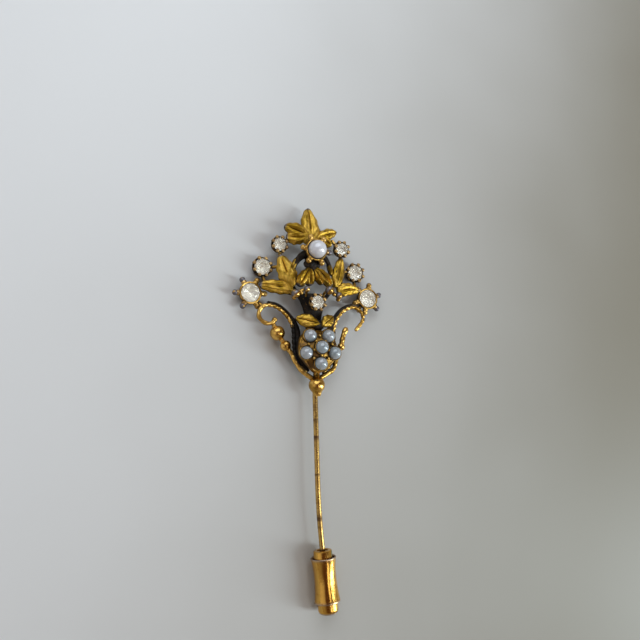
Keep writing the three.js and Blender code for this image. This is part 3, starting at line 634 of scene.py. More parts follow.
def cup_profile(radius, depth, rim, seat):
    """The side of a setting from its flat back to its rim, and down inside to the stone's seat."""
    outer = radius + SETTING_WALL
    outside = [(0, -depth), (0.70 * outer, -depth), (0.74 * outer, -depth + 0.05)]
    outside += [(0.90 * outer, -0.62 * depth), (outer, -0.3 * depth), (outer, rim - 0.10)]
    edge = [(outer - 0.03, rim - 0.03), (outer - 0.11, rim), (outer - 0.22, rim - 0.03)]
    inside = [(radius + 0.03, rim - 0.12), (radius + 0.03, -0.06), (0.5 * radius, seat), (0, seat - 0.1)]
    return outside + edge + inside


def ray_girth(along, length):
    return 0.54 - 0.20 * along / length


def add_rays(setting, centre, radius, height, turn_deg, worn_side):
    """Six arms that end in beads; those on the outer side have lost their gilding."""
    for k in range(6):
        turn = radians(turn_deg + 60 * k)
        out = Vector((cos(turn), sin(turn), 0))
        root = centre + out * (radius + RAY_ROOT) + raised(height)
        tip = centre + out * (radius + RAY_REACH) + raised(height)
        worn = 1.0 if out.x * worn_side > 0.3 else 0.1
        setting.wire([root.lerp(tip, t / 6) for t in range(7)], ray_girth, worn=worn * 0.3)
        setting.ball(RAY_BEAD, tip, 20, worn=worn)


def add_claws(setting, centre, radius, depth):
    """Eight claws up the side of a cup, each with a bead pressed over the stone's edge."""
    for turn in turns_round(8, 0.5):
        out = Vector((cos(turn), sin(turn), 0))
        foot = centre + out * (0.86 * radius) + raised(-0.62 * depth)
        shoulder = centre + out * (radius + 0.2) + raised(-0.25)
        tip = centre + out * (radius + 0.15) + raised(0.14)
        route = smooth_route([foot, shoulder, tip], 0.12)
        setting.wire(route, CLAW_RADIUS, 10)
        setting.ball(CLAW_BEAD + chance.uniform(-0.03, 0.04), tip, 16, 0.85, worn=0.35)


def add_lug(setting, centre, radius, height, reach):
    """A short bar from a setting to its neighbour."""
    flat = Vector((reach[0], reach[1], 0)).normalized()
    root = centre + flat * (0.8 * radius) + raised(height)
    tip = centre + Vector(reach)
    setting.wire([root.lerp(tip, t / 8) for t in range(9)], LUG_RADIUS)


def depth_of(radius):
    return PAVILION * radius + SETTING_FLOOR


def stone_setting(place, radius, rim, lugs=(), side=1, ray_turn=None):
    """The cup under one stone, with its rays or its claws, and its lugs, each a height and a reach."""
    centre = stone_centre(f"stone_{place}", radius)
    setting = Casting()
    setting.turned(cup_profile(radius, depth_of(radius), rim, -0.95 * radius), Matrix.Translation(centre), 40)
    if rim < 0:
        setting.soot = [LOW_RIM_SOOT] * len(setting.points)
    if ray_turn is None:
        add_claws(setting, centre, radius, depth_of(radius))
    else:
        add_rays(setting, centre, radius, -RAY_DROP, ray_turn, side)
    for height, reach in lugs:
        add_lug(setting, centre, radius, height, *mirrored(side, [reach]))
    size, _, which = place.partition("_")
    name = f"{size}_setting_{which}" if which else f"{size}_setting"
    setting.made(name, [CAST_GILT], HEAD, [f"setting_{place}"], GOLD)


LOWER_LUGS = [(-1, (-2.2, -2.4, 0.2))]
MIDDLE_LUGS = [(-0.7, (-3.2, 0.1, 0.8)), (-0.8, (-0.3, -3.3, 0.45))]
UPPER_LUGS = [(-0.6, (-1.9, 1.3, 0.1)), (-0.7, (-0.2, -2, -0.5))]
for name, side in SIDES.items():
    stone_setting(f"lower_{name}", LARGE_STONE, HIGH_RIM, LOWER_LUGS, side, RAY_TURN[name])
    stone_setting(f"middle_{name}", MIDDLE_STONE, LOW_RIM, MIDDLE_LUGS, side)
    stone_setting(f"upper_{name}", SMALL_STONE, LOW_RIM, UPPER_LUGS, side)
stone_setting("centre", SMALL_STONE, LOW_RIM)


def pearl_setting():
    centre = on_head("pearl")
    cup = Casting()
    floor = -PEARL_RADIUS - SETTING_FLOOR
    outer = PEARL_RADIUS + SETTING_WALL
    profile = [(0, floor), (0.68 * PEARL_RADIUS, floor), (0.74 * PEARL_RADIUS, floor + 0.06)]
    profile += [(0.95 * outer, -1.15), (outer, -0.9), (outer, -0.36), (outer - 0.05, -0.27)]
    profile += [(outer - 0.15, -0.24), (PEARL_RADIUS + 0.04, -0.32), (PEARL_RADIUS * 0.97, -0.6)]
    profile += [(0.6 * PEARL_RADIUS, -1.35), (0, -1.7)]
    cup.turned(profile, Matrix.Translation(centre), 48)
    add_rays(cup, centre, PEARL_RADIUS - 0.12, -0.6, -7, 0.4)
    cup.made("pearl_setting", [CAST_GILT], HEAD, ["pearl_cup"], GOLD)


pearl_setting()

# ---- stem and base ball


def stem_route():
    """Straight down from the ball, a gentle set, then straight to where the point begins."""
    bend = STEM_SET_LENGTH / STEM_SET
    route = [Vector((0, 0.5 - 0.5 * k, -STEM_SETBACK)) for k in range(2 * STEM_STRAIGHT + 2)]
    for k in range(1, 13):
        turn = STEM_SET * k / 12
        across, down = bend * (1 - cos(turn)), STEM_STRAIGHT + bend * sin(turn)
        route.append(Vector((across, -down, -STEM_SETBACK)))
    tail = STEM_LENGTH - STEM_STRAIGHT - STEM_SET_LENGTH
    along = Vector((sin(STEM_SET), -cos(STEM_SET), 0))
    last = route[-1]
    route += [last + along * (tail * k / 12) for k in range(1, 13)]
    return route


def stem():
    casting = Casting()

    def girth(along, length):
        left = length - along
        if left > STEM_POINT:
            return STEM_RADIUS
        return STEM_TIP + (STEM_RADIUS - STEM_TIP) * left / STEM_POINT

    casting.wire(stem_route(), girth, 20)
    casting.made("stem", [STEM_BRASS], HEAD, ["stem_wire"], "wire_gold", smooth=60)


stem()


def base_ball():
    along_pin = Matrix.Rotation(-pi / 2, 4, "X")
    profile = [(0, -BALL_DROP), (0.52, -BALL_DROP), (0.62, -BALL_DROP + 0.08), (0.74, -1.45)]
    profile += arc(BALL_RADIUS, -50, 64, 20) + [(NECK_RADIUS, NECK_TOP), (0, NECK_TOP)]
    ball = Casting()
    ball.turned(profile, along_pin, 40)
    ball.made("foot_ball", [BEAD_GILT], HEAD, ["base_ball"], GOLD, smooth=60)


base_ball()

# ---- basket cup

CUP_CENTRE_Y = 5.8
CUP_HALF_WIDTH = 3.6
CUP_TOP = 9.4
CUP_BOTTOM = 1.85
CUP_BACK = -1.5
CUP_BACK_SHARE = 0.70
DOME_Z = -1.0
DOME_X, DOME_Y, DOME_RISE = 4.5, 4.1, 3.65
GRANULE_RADIUS = 0.27
SEED_SPACING = 3.9


def cup_edge(turn):
    """How far the cup reaches from its middle, egg-shaped: blunter at the top than at the foot."""
    up = CUP_TOP - CUP_CENTRE_Y if sin(turn) > 0 else CUP_CENTRE_Y - CUP_BOTTOM
    power = 2.5 if sin(turn) > 0 else 1.5
    x, y = abs(cos(turn)) / CUP_HALF_WIDTH, abs(sin(turn)) / up
    return (x**power + y**power) ** (-1 / power)


def dome_height(x, y):
    inside = 1 - (x / DOME_X) ** 2 - ((y - CUP_CENTRE_Y) / DOME_Y) ** 2
    return DOME_Z + DOME_RISE * sqrt(max(inside, 0.10))


def basket_cup():
    """Rings from the middle of the dome, over the rolled rim and down to the flat back."""

    def ring(share, height=None, sink=0.0):
        points = []
        for turn in turns_round(72):
            out = cup_edge(turn) * share
            x, y = out * cos(turn), CUP_CENTRE_Y + out * sin(turn)
            points.append(Vector((x, y, (dome_height(x, y) - sink) if height is None else height)))
        return points

    cup = Casting()
    rings = [[Vector((0, CUP_CENTRE_Y, dome_height(0, CUP_CENTRE_Y) - 0.25))]]
    rings += [ring(k / 12, sink=0.25) for k in range(1, 11)]
    rings += [ring(0.89, sink=0.22), ring(0.92, sink=0.08), ring(0.955), ring(0.985, sink=0.06)]
    rings += [ring(1.0, sink=0.25), ring(0.985, sink=0.6), ring(0.91, -0.2), ring(0.80, -0.9)]
    rings += [ring(CUP_BACK_SHARE, CUP_BACK), ring(0.4, CUP_BACK), [Vector((0, CUP_CENTRE_Y, CUP_BACK))]]
    cup.skin(rings)
    add_granules(cup)
    cup.made("basket_bowl", [BASKET_GILT, CAST_GILT], HEAD, ["basket_cup"], GOLD)


def add_granules(cup):
    """Granules of gold where neighbouring seed pearls meet, and a raised ring round each seat."""
    seats = [on_head(f"seed_pearl_{seed}") for seed in SEEDS]
    for i, a in enumerate(seats):
        for b in seats[i + 1:]:
            if (a - b).xy.length < SEED_SPACING:
                x, y = (a.x + b.x) / 2, (a.y + b.y) / 2
                cup.ball(GRANULE_RADIUS, Vector((x, y, dome_height(x, y) + 0.12)), 14, finish=1)
        bezel = [(SEED_RADIUS + 0.02, -0.5), (SEED_RADIUS + 0.16, -0.5), (SEED_RADIUS + 0.15, 0.02)]
        bezel += [(SEED_RADIUS + 0.08, 0.09), (SEED_RADIUS + 0.01, 0.02)]
        cup.turned(bezel, Matrix.Translation(a), 40, closed=True, finish=1)


basket_cup()

# ---- trunk and branches


def trunk():
    stalk = Casting()
    along = Matrix.Translation(raised(-0.75)) @ Matrix.Diagonal((1, 1, 0.5, 1))
    along = along @ Matrix.Rotation(-pi / 2, 4, "X")
    profile = [(0, 9.0), (1.4, 9.0), (1.5, 9.3), (1.45, 10.8), (1.62, 12.2), (2.0, 13.6), (2.55, 14.9),
               (2.6, 15.2), (2.3, 15.8), (0, 15.8)]
    stalk.turned(profile, along, 36)
    boss = Matrix.Translation(Vector((0, 10.2, 0.5))) @ Matrix.Diagonal((1.5, 1, 1, 1))
    stalk.turned(arc(1.0, -90, 90, 13), boss, 24)
    stalk.made("stalk", [BLACKENED], HEAD, ["trunk"], BLACK, smooth=60)


trunk()

BRANCH = [(1.9, 14.6, -0.8), (3.2, 16.3, -0.7), (4.1, 18.3, -0.5), (3.5, 20.3, -0.3), (2.6, 22.0, 0.0),
          (1.2, 23.0, 0.6)]
BRANCH_SWELLING = {"left": 0.42, "right": 0.06}


def clubbed(radius, swelling, power):
    """The girth of a wire that swells over the last part of its length."""
    return lambda along, length: radius + swelling * max(0.0, (along / length - 0.7) / 0.3) ** power


for name, side in SIDES.items():
    branch = Casting()
    branch.wire(smooth_route(mirrored(side, BRANCH)), clubbed(0.36, BRANCH_SWELLING[name], 0.7), 16)
    branch.made(f"bough_{name}", [BLACKENED], HEAD, [f"branch_{name}"], BLACK, smooth=60)


SOLDER_LUMPS = [
    ((-0.45, 20.9, 0.6), 0.98), ((-1.25, 20.9, 0.5), 0.74), ((0.45, 21.0, 0.5), 0.78),
    ((-0.5, 20.3, 0.7), 0.64), ((-1.0, 21.6, 0.35), 0.7), ((0.2, 21.7, 0.4), 0.66),
]


def knot():
    """A knotty lump of old solder between the pearl's cup and the leaves below it."""
    lump = Casting()
    for at, radius in SOLDER_LUMPS:
        lump.ball(radius, Vector(at), 24, 0.75)
    for k, point in enumerate(lump.points):
        rough = 0.09 * sin(5 * point.x + 2 * point.y) * sin(4 * point.y + 3 * point.z)
        lump.points[k] = point + raised(rough)
    lump.made("knot_of_solder", [BLACKENED], HEAD, ["solder_knot"], BLACK, 60)


knot()

# ---- leaves

LEAF_THICKNESS = 0.5
LEAF_RIPPLE = 0.06
LEAF_ROWS, LEAF_COLUMNS = 44, 26
MIDRIB_DEPTH, MIDRIB_WIDTH = 0.26, 0.06
VEIN_DEPTH = 0.03
FOLD_DEPTH = 0.04
EDGE_DROP = 0.30
NO_RIB = (2, 2)


def leaf_casting(casting, root, tip, width, roll_deg=0.0, bow=0.3, widest=0.42, sway=0.0, swell=0.12,
                 blunt=0.55, rib=(0.1, 0.85), folds=1.6):
    """One leaf: two halves that swell beside a sunk midrib, with folds, veins and a turned-down edge.

    rib says over what share of the length the midrib shows, and widest where the leaf is broadest.
    """
    a, b = Vector(root), Vector(tip)
    along = b - a
    length = along.length
    y = along.normalized()
    x = y.cross(raised(1)).normalized()
    turn = Matrix.Rotation(radians(roll_deg), 3, y)
    x, z = turn @ x, turn @ x.cross(y)
    bend = log(0.5) / log(widest)
    rows, columns = LEAF_ROWS, LEAF_COLUMNS
    shift = a.x + a.y

    def half_width(s):
        body = sin(pi * s**bend) ** blunt if 0 < s < 1 else 0.0
        return 0.5 * width * body * (1 + LEAF_RIPPLE * sin(7 * pi * s + shift)) + 0.03

    def upper(s, t):
        side = abs(t)
        full = min(1.0, 4 * s, 5 * (1 - s)) ** 0.7
        domed = swell * sin(pi * side**0.8) * full
        ribbed = clamped(min((s - rib[0]) / 0.1, (rib[1] - s) / 0.15))
        sunk = -MIDRIB_DEPTH * exp(-((side / MIDRIB_WIDTH) ** 2)) * ribbed
        veins = VEIN_DEPTH * cos(2 * pi * (5.5 * s - 1.8 * side) + shift) * full * side**0.5
        fold = FOLD_DEPTH * cos(2 * pi * folds * (side + 0.2 * s)) * full
        droop = -EDGE_DROP * side**4
        return domed + sunk + veins + fold + droop

    def at(s, t, under):
        place = a + along * s + x * (t * half_width(s) + sway * sin(pi * s))
        arched = 4 * bow * s * (1 - s)
        height = arched + 0.5 * upper(s, t) - LEAF_THICKNESS if under else arched + upper(s, t)
        return place + z * height

    rings, grain = [], []
    for row in range(rows + 1):
        s = sin(0.5 * pi * row / rows) ** 2 * 0.6 + 0.4 * row / rows
        top = [at(s, 2 * c / columns - 1, False) for c in range(columns + 1)]
        base = [at(s, 1 - 2 * c / columns, True) for c in range(columns + 1)]
        rings.append(top + base)
        across = [(2 * c / columns - 1) * half_width(s) for c in range(columns + 1)]
        grain += [Vector((value + shift, 0.16 * s * length, shift)) for value in across + across[::-1]]
    ends = [[ring[0].lerp(ring[columns], 0.5)] for ring in (rings[0], rings[-1])]
    start = len(casting.points)
    casting.skin([ends[0]] + rings + [ends[1]])
    casting.grain[start + 1:-1] = grain
    for k, point in enumerate(casting.points[start:]):
        s = (point - a).dot(along) / along.dot(along)
        casting.worn[start + k] = clamped((s - 0.92) / 0.05)


def lobe(root, tip, width, **shape):
    return dict(root=root, tip=tip, width=width, **shape)


# The lobes of each leaf
LEAVES = {
    "top_leaf": [
        lobe((-0.35, 24.6, 0.5), (-0.22, 31.65, -1.0), 3.6, widest=0.32, bow=0.4, blunt=0.5,
             swell=0.13, rib=(0.3, 0.92), folds=1.3),
    ],
    "spray_leaf_left": [
        lobe((-0.5, 26.0, 0.4), (-5.0, 27.85, -0.4), 2.6, widest=0.5, roll_deg=-6),
        lobe((-0.8, 25.8, 0.3), (-4.75, 25.75, -0.3), 2.5, widest=0.6, bow=0.2, blunt=0.42),
    ],
    "spray_leaf_right": [
        lobe((0.7, 26.0, 0.4), (5.0, 27.5, -0.4), 1.9, widest=0.55, roll_deg=6),
        lobe((1.3, 26.4, 0.3), (3.85, 24.75, -0.3), 1.9, widest=0.5, bow=0.2, blunt=0.45),
    ],
    "upper_leaf_left": [
        lobe((-4.1, 16.8, 0.3), (-5.9, 22.55, -0.5), 3.2, widest=0.42, roll_deg=-14, swell=0.16,
             rib=(0.4, 0.9)),
        lobe((-4.0, 19.6, 0.0), (-2.95, 22.2, -0.1), 0.9, bow=0.1),
    ],
    "upper_leaf_right": [
        lobe((4.2, 17.2, 0.3), (5.95, 22.9, -0.6), 2.3, widest=0.42, roll_deg=12),
        lobe((3.6, 19.4, 0.0), (2.95, 21.8, -0.1), 0.8, bow=0.1),
    ],
    "side_leaf_left": [
        lobe((-4.0, 16.4, 0.4), (-9.6, 17.15, -0.5), 2.35, widest=0.45, blunt=0.4, rib=(0.3, 0.6),
             folds=2.2),
        lobe((-5.4, 16.6, 0.3), (-4.1, 15.5, 0.2), 0.9, bow=0.1),
    ],
    "side_leaf_right": [
        lobe((4.5, 16.4, 0.4), (9.2, 16.95, -0.5), 2.3, widest=0.36, blunt=0.5, sway=-0.35,
             rib=(0.15, 0.7), folds=2.0),
    ],
    "centre_leaf_left": [
        lobe((-1.0, 20.3, 0.75), (-3.05, 16.95, 0.8), 2.0, widest=0.62, blunt=0.42, bow=0.35,
             swell=0.42, rib=NO_RIB),
        lobe((-0.9, 20.2, 0.8), (-1.1, 17.1, 0.9), 1.8, widest=0.66, blunt=0.42, bow=0.35, swell=0.42,
             rib=NO_RIB),
    ],
    "centre_leaf_right": [
        lobe((0.1, 20.3, 0.75), (3.2, 17.25, 0.7), 2.0, widest=0.55, blunt=0.45, bow=0.35, swell=0.36,
             rib=(0.1, 0.6)),
        lobe((-0.2, 20.1, 0.8), (1.5, 17.45, 0.75), 1.7, widest=0.55, blunt=0.45, bow=0.3, swell=0.36,
             rib=NO_RIB),
    ],
    "collar_leaf_left": [
        lobe((0.3, 10.3, 1.6), (-3.85, 11.45, 0.5), 2.3, widest=0.52, bow=0.3, blunt=0.8, swell=0.12,
             rib=(0.02, 0.97), folds=1.0),
    ],
    "collar_leaf_right": [
        lobe((0.7, 10.0, 1.6), (3.45, 11.95, 0.4), 2.1, widest=0.52, bow=0.25, blunt=0.95, swell=0.12,
             rib=(0.02, 0.97), folds=1.0),
    ],
}
for name, lobes in LEAVES.items():
    leaf = Casting()
    for lobe in lobes:
        leaf_casting(leaf, **lobe)
    leaf.made(name + "_blade", [LEAF_GILT], HEAD, [name], GOLD, smooth=50)

# ---- berries on their twigs

TWIG = [(1.5, 15.0, -0.2), (1.7, 15.9, 0.7), (2.2, 16.15, 1.35), (3.0, 15.9, 1.35), (4.1, 15.3, 1.0)]
BERRIES = {"inner_left": 0.54, "outer_left": 0.80, "inner_right": 0.79, "outer_right": 0.63}
for name, radius in BERRIES.items():
    berry = Casting()
    berry.ball(radius, on_head(f"berry_{name}"), 28)
    for k, point in enumerate(berry.points):
        away = (point - on_head(f"berry_{name}")).normalized()
        berry.worn[k] = 1.0 if away.x * 0.5 - away.y * 0.7 + 0.3 * away.z < 0.25 else 0.1
    berry.made(f"berry_{name}_bead", [BEAD_GILT], HEAD, [f"berry_{name}"], GOLD, 60)
for name, side in SIDES.items():
    twig = Casting()
    twig.wire(smooth_route(mirrored(side, TWIG), 0.12), 0.25)
    twig.ball(0.36, Vector((3.05 * side, 15.5, 1.7)), 18)
    twig.ball(0.38, Vector((4.1 * side, 14.75, 1.0)), 18)
    twig.made(f"twig_{name}", [CAST_GILT], HEAD, [f"berry_twig_{name}"], GOLD, 60)

# ---- outer wires and their beads

OUTER_WIRES = {
    "outer_wire_left": [(-0.7, 1.15, -0.3), (-2.3, 2.3, -0.5), (-3.5, 4.0, -0.7), (-4.15, 5.4, -0.8),
                        (-5.15, 6.75, -0.85), (-6.55, 8.9, -0.9), (-7.2, 10.3, -0.9)],
    "outer_wire_right": [(0.7, 1.15, -0.3), (2.1, 1.9, -0.4), (3.4, 2.8, -0.5), (4.0, 4.2, -0.7),
                         (4.4, 5.5, -0.8), (5.2, 6.75, -0.85), (5.6, 8.4, -0.85), (6.2, 9.8, -0.85)],
}
OUTER_WIRE_SWELLING = {"outer_wire_left": 0.0, "outer_wire_right": 0.10}


def knobbly(swelling):
    """The girth of a wire with uneven lumps, that swells towards its end."""

    def girth(along, length):
        lumps = 0.41 + 0.035 * sin(3.1 * along) + 0.02 * sin(8 * along)
        return lumps + swelling * max(0.0, along / length - 0.7) / 0.3

    return girth


for name, points in OUTER_WIRES.items():
    wire = Casting()
    wire.wire(smooth_route(points, 0.14), knobbly(OUTER_WIRE_SWELLING[name]), 14)
    wire.made(name + "_drawn", [CAST_GILT], HEAD, [name], GOLD, 60)

WIRE_BEADS = {"wire_bead_left_upper": 1.28, "wire_bead_left_lower": 0.92, "wire_bead_right": 0.68}
for name, radius in WIRE_BEADS.items():
    bead = Casting()
    bead.ball(radius, on_head(name), 36)
    bead.made(name + "_ball", [BEAD_GILT], HEAD, [name], GOLD, 60)

# ---- scrolls

SCROLL = {
    "left": [(1.5, 2.1), (2.85, 3.5), (3.55, 5.2), (3.72, 7.1), (3.74, 9.0), (4.0, 10.3), (4.75, 11.7),
             (5.9, 12.8), (7.0, 13.4), (8.3, 13.6)],
    "right": [(1.5, 2.1), (2.85, 3.5), (3.55, 5.2), (3.72, 7.1), (3.74, 9.0), (3.95, 10.4), (4.5, 11.6),
              (5.4, 12.75), (6.5, 13.5), (7.7, 13.85)],
}
SCROLL_ENDS = {
    "left": [(-9.2, 13.3), (-9.8, 12.5), (-9.85, 11.6), (-9.3, 10.85), (-8.4, 10.45), (-7.5, 10.6),
             (-7.15, 11.05)],
    "right": [(8.8, 13.5), (9.5, 12.7), (9.65, 11.7), (9.1, 10.8), (8.2, 9.8)],
}
ROPE_PITCH = 0.92
ROPE_RUNS_SMOOTH_FROM = {"left": 15.2, "right": 19.0}
ROPE_SOOT = {"left": (9.6, 12.6), "right": (9.0, 10.0)}
STRAP_HALF_WIDTH = 0.48
STRAP_HALF_DEPTH = 0.62


def strap_casting(name, side):
    """A flat strap inside the rope, rounded at its corners, and thinner where the rope arches over."""
    route = smooth_route(mirrored(side, [(x, y, -0.9) for x, y in SCROLL[name]]), 0.2)
    strap = Casting()
    rings = []
    for k, point in enumerate(route):
        ahead, behind = route[min(k + 1, len(route) - 1)], route[max(k - 1, 0)]
        inward = (ahead - behind).normalized().cross(raised(1)) * -side
        share = k / (len(route) - 1)
        half = STRAP_HALF_WIDTH * min(1.0, 0.35 + 6 * share)
        half *= 1 - 0.55 * clamped((point.y - 9.3) / 2.5)
        middle_line = point + inward * (0.26 + half)
        ring = []
        for turn in turns_round(16):
            across = copysign(abs(cos(turn)) ** 0.5, cos(turn)) * half
            lift = copysign(abs(sin(turn)) ** 0.5, sin(turn)) * STRAP_HALF_DEPTH
            ring.append(middle_line + inward * across + raised(lift))
        rings.append(ring)
    ends = [sum(ring, Vector()) / len(ring) for ring in (rings[0], rings[-1])]
    strap.skin([[ends[0]]] + rings + [[ends[1]]])
    return strap


def roped(smooth_from):
    """The girth of a beaded rope, up to where the scroll curls over and its wire runs smooth."""

    def girth(along, length):
        smooth = clamped(along - smooth_from)
        bead = 0.22 + 0.14 * abs(sin(pi * along / ROPE_PITCH)) ** 0.6
        plain = 0.37 + 0.03 * sin(4.0 * along)
        return bead * (1 - smooth) + plain * smooth

    return girth


for name, side in SIDES.items():
    points = [*mirrored(side, SCROLL[name]), *SCROLL_ENDS[name]]
    route = smooth_route([(x, y, -0.65) for x, y in points], 0.09)
    rope = Casting()
    rope.wire(route, roped(ROPE_RUNS_SMOOTH_FROM[name]), 14)
    low, high = ROPE_SOOT[name]
    for k, point in enumerate(rope.points):
        on_the_way_up = abs(point.x) < 6 or point.y > 12
        if on_the_way_up and point.y > 3.2:
            rope.soot[k] = 0.55 * clamped((high - point.y) / (high - low))
    if name == "left":
        rope.ball(0.46, Vector((-7.1, 11.1, -0.6)), 20)
    rope.made(f"rope_{name}", [CAST_GILT], HEAD, [f"scroll_rope_{name}"], GOLD, 60)
    strap_casting(name, side).made(
        f"strap_{name}", [BLACKENED], HEAD, [f"scroll_strap_{name}"], BLACK, 60)

# ---- clutch

BARREL_RADIUS = 1.55
BARREL_PROUD = 1.1
SLEEVE_RADIUS = 2.15
SLEEVE_LENGTH = 7.1
SLEEVE_WALL = 0.26
WAIST_SHARE = 0.42
WAIST_RADIUS = 1.82
CAP_PROUD = 1.8
CAP_RADIUS = 1.68
CLUTCH_LENGTH = BARREL_PROUD + SLEEVE_LENGTH + CAP_PROUD
CAP_ROUNDING = 0.7
CAP_LAP = 1.4
CAP_FLOOR = 0.3
MOUTH_HOLE = 0.92
RIM_WEAR = 0.45
LIP_TURNS = (0.0, 0.5, 1.0, 1.57, 2.1, 2.6, 3.14)


def clutch_place():
    """From the clutch's own lengths, measured down from its mouth, to the head's."""
    turn = next(j for j in frame["record"]["behaviour"]["joints"] if j["name"] == "clutch_turn")
    mouth = (Vector(turn["pos_m"]) - ORIGIN) / MM
    down = Vector(turn["axis"]).normalized()
    return Matrix.Translation(mouth) @ down.to_track_quat("Z", "Y").to_matrix().to_4x4()


CLUTCH = clutch_place()


def clutch_barrel():
    inner = BARREL_RADIUS - 0.2
    profile = [(MOUTH_HOLE, 0.2), (MOUTH_HOLE, 0.03), (MOUTH_HOLE + 0.04, 0.0)]
    profile += [(BARREL_RADIUS - 0.24, 0.0), (BARREL_RADIUS - 0.13, 0.02), (BARREL_RADIUS - 0.04, 0.09)]
    profile += [(BARREL_RADIUS, 0.2), (BARREL_RADIUS, CLUTCH_LENGTH - 0.32)]
    profile += [(inner, CLUTCH_LENGTH - 0.32), (inner, 0.2)]
    barrel = Casting()
    barrel.turned(profile, CLUTCH, 64, closed=True)
    for k, point in enumerate(barrel.points):
        place = CLUTCH.inverted() @ point
        side = point.x - (CLUTCH @ raised(place.z)).x
        if 0.2 < place.z < BARREL_PROUD + 0.3 and side > 1.0:
            barrel.soot[k] = 0.9
    barrel.made("barrel", [CLUTCH_GILT], SHELL, ["clutch_barrel"], "clutch_gold", 30)


def sleeve_radius(share):
    """The waisted outside, at a share of its length from the mouth's end."""
    reach = WAIST_SHARE if share < WAIST_SHARE else 1 - WAIST_SHARE
    away = abs(share - WAIST_SHARE) / reach
    return WAIST_RADIUS + (SLEEVE_RADIUS - WAIST_RADIUS) * away**2


def lip(edge, way):
    """The rounded end of the sleeve's wall: way is 1 at the cap's end, -1 at the mouth's."""
    half = SLEEVE_WALL / 2
    out, along = edge[0] - half, edge[1] - way * half
    return [(out + way * half * cos(t), along + way * half * sin(t)) for t in LIP_TURNS]


def clutch_sleeve():
    steps = 40
    shares = [k / steps for k in range(steps + 1)]
    outside = [(sleeve_radius(s), BARREL_PROUD + s * SLEEVE_LENGTH) for s in shares]
    wall = outside[2:-2]
    inside = [(r - SLEEVE_WALL, h) for r, h in reversed(wall)]
    sleeve = Casting()
    sleeve.turned(wall + lip(outside[-1], 1) + inside + lip(outside[0], -1), CLUTCH, 72, closed=True)
    for k, point in enumerate(sleeve.points):
        along = (CLUTCH.inverted() @ point).z - BARREL_PROUD
        near_rim = min(along, SLEEVE_LENGTH - along)
        sleeve.worn[k] = max(0.0, 1 - near_rim / RIM_WEAR)
    sleeve.made("sleeve", [CLUTCH_GILT], SHELL, ["clutch_sleeve"], "clutch_gold", 50)


def clutch_cap():
    inner = BARREL_RADIUS + 0.01
    skirt = BARREL_PROUD + SLEEVE_LENGTH - CAP_LAP
    floor = CLUTCH_LENGTH - CAP_FLOOR
    profile = [(0, floor), (inner, floor), (inner, skirt), (CAP_RADIUS, skirt)]
    profile += arc(CAP_ROUNDING, 0, 90, 9, (CAP_RADIUS - CAP_ROUNDING, CLUTCH_LENGTH - CAP_ROUNDING))
    profile += [(0.4, CLUTCH_LENGTH), (0, CLUTCH_LENGTH)]
    cap = Casting()
    cap.turned(profile, CLUTCH, 64)
    for k, point in enumerate(cap.points):
        along = (CLUTCH.inverted() @ point).z
        cap.worn[k] = 0.8 if along > CLUTCH_LENGTH - 0.35 else 0.0
    cap.made("cap", [CLUTCH_GILT], SHELL, ["clutch_end_cap"], "clutch_gold", 35)


clutch_barrel()
clutch_sleeve()
clutch_cap()


def plain_metal(name, colour, dark):
    finish = Finish(name)
    stain = finish.noise(1.5, 3).within(0.4, 0.7)
    metal = finish.mix(stain, colour, dark)
    return finish.surface(Base_Color=metal, Metallic=1.0, Roughness=0.3 + 0.2 * stain)


INSIDE = {
    "clutch_mouth_washer": plain_metal("washer_brass", (0.45, 0.27, 0.07), (0.18, 0.09, 0.03)),
    "clutch_grip_spring": plain_metal("spring_bronze", (0.45, 0.28, 0.12), (0.20, 0.11, 0.05)),
}
for name, finish in INSIDE.items():
    solid = frame["nodes"][name]
    solid.data.materials.clear()
    solid.data.materials.append(finish)

# ---- floor, light and camera

FLOOR_HALF = 1.5
# The floor's pale colour, and the painted shade it darkens to across the frame.
FLOOR_PALE = (0.78, 0.79, 0.81)
FLOOR_PAINTED_SHADE = (0.28, 0.26, 0.21)
ROOM_WALLS = (0.32, 0.29, 0.235)
ROOM_CEILING = (0.09, 0.036, 0.014)


def pale_floor():
    mesh = bpy.data.meshes.new("table_top")
    corners = [(x * FLOOR_HALF, y * FLOOR_HALF, 0) for x, y in ((-1, -1), (1, -1), (1, 1), (-1, 1))]
    mesh.from_pydata(corners, [], [(0, 1, 2, 3)])
    finish = Finish("table_glaze")
    across = finish.node("ShaderNodeSeparateXYZ", sockets={"Vector": finish.place()}, output="X")
    along = finish.node("ShaderNodeSeparateXYZ", sockets={"Vector": finish.place()}, output="Y")
    # Painted shade: the floor darkens towards the lower right, as if the light fell off there.
    painted_falloff = (across - 0.45 * along + 0.03 * finish.noise(0.02, 2)).within(-0.05, 0.10)
    glaze = finish.mix(painted_falloff, FLOOR_PALE, FLOOR_PAINTED_SHADE)
    mesh.materials.append(finish.surface(Base_Color=glaze, Roughness=0.5))
    top = bpy.data.objects.new("table_top", mesh)
    bpy.context.scene.collection.objects.link(top)


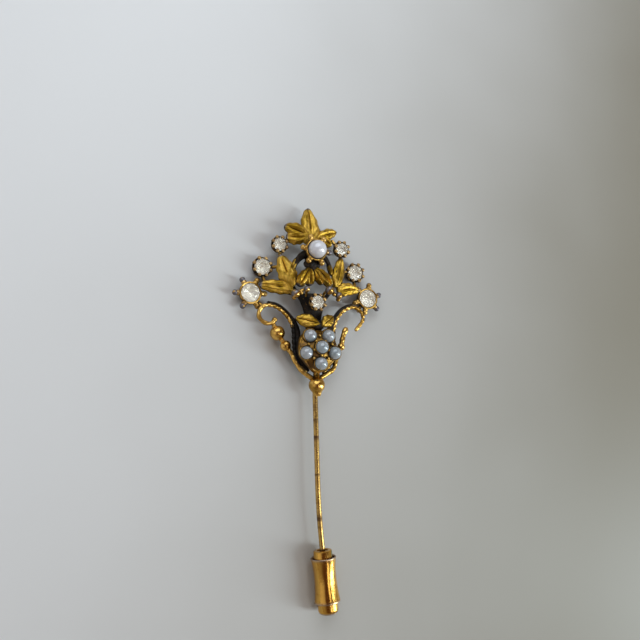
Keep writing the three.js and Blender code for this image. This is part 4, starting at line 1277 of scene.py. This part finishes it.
def soft_light(name, at, size, radiance, colour):
    """A soft rectangular light of an even brightness, in metres, looking at the middle of the head."""
    lamp = bpy.data.lights.new(name, "AREA")
    lamp.shape = "RECTANGLE"
    lamp.size, lamp.size_y = size
    lamp.energy = radiance * pi * size[0] * size[1]
    lamp.color = colour
    holder = bpy.data.objects.new(name, lamp)
    holder.location = at
    holder.rotation_euler = (Vector(at) - spot((0, 12, 0))).to_track_quat("Z", "Y").to_euler()
    bpy.context.scene.collection.objects.link(holder)


def studio():
    """A dim warm room, darker overhead, with a window, a lamp, a skylight and a weak fill."""
    air = Finish("studio", world=True)
    direction = air.node("ShaderNodeTexCoord", output="Generated")
    height = air.node("ShaderNodeSeparateXYZ", sockets={"Vector": direction}, output="Z")
    overhead = height.within(0.35, 0.85)
    bpy.context.scene.world = air.surface(Color=air.mix(overhead, ROOM_WALLS, ROOM_CEILING))
    soft_light("window", (0.40, -0.15, 0.29), (0.11, 0.42), 12.5, (0.82, 0.94, 1.0))
    soft_light("lamp", (0.08, -0.13, 0.33), (0.06, 0.20), 3.2, (1.0, 0.97, 0.90))
    soft_light("skylight", (-0.045, 0.150, 0.16), (0.25, 0.16), 1.9, (0.84, 0.93, 1.0))
    soft_light("fill", (-0.48, -0.06, 0.25), (0.30, 0.50), 0.4, (0.95, 0.97, 1.0))
    bpy.context.scene.view_settings.view_transform = "Standard"


CAMERA_FROM_HEAD = (-40.74, -5.46, 97.68)
CAMERA_RIGHT = (0.921, -0.031, 0.388)
CAMERA_UP = (-0.032, 0.987, 0.155)
SENSOR_WIDTH = 36
FOCAL_SHARE = 620 / 640


def camera():
    lens = bpy.data.cameras.new("camera")
    lens.sensor_width = SENSOR_WIDTH
    lens.lens = SENSOR_WIDTH * FOCAL_SHARE
    lens.clip_start = 0.001
    right = Vector(CAMERA_RIGHT).normalized()
    up = Vector(CAMERA_UP)
    up = (up - right * up.dot(right)).normalized()
    back = right.cross(up)
    holder = bpy.data.objects.new("camera", lens)
    turn = Matrix((right, up, back)).transposed().to_4x4()
    holder.matrix_world = Matrix.Translation(spot(CAMERA_FROM_HEAD)) @ turn
    bpy.context.scene.collection.objects.link(holder)
    bpy.context.scene.camera = holder


pale_floor()
studio()
camera()
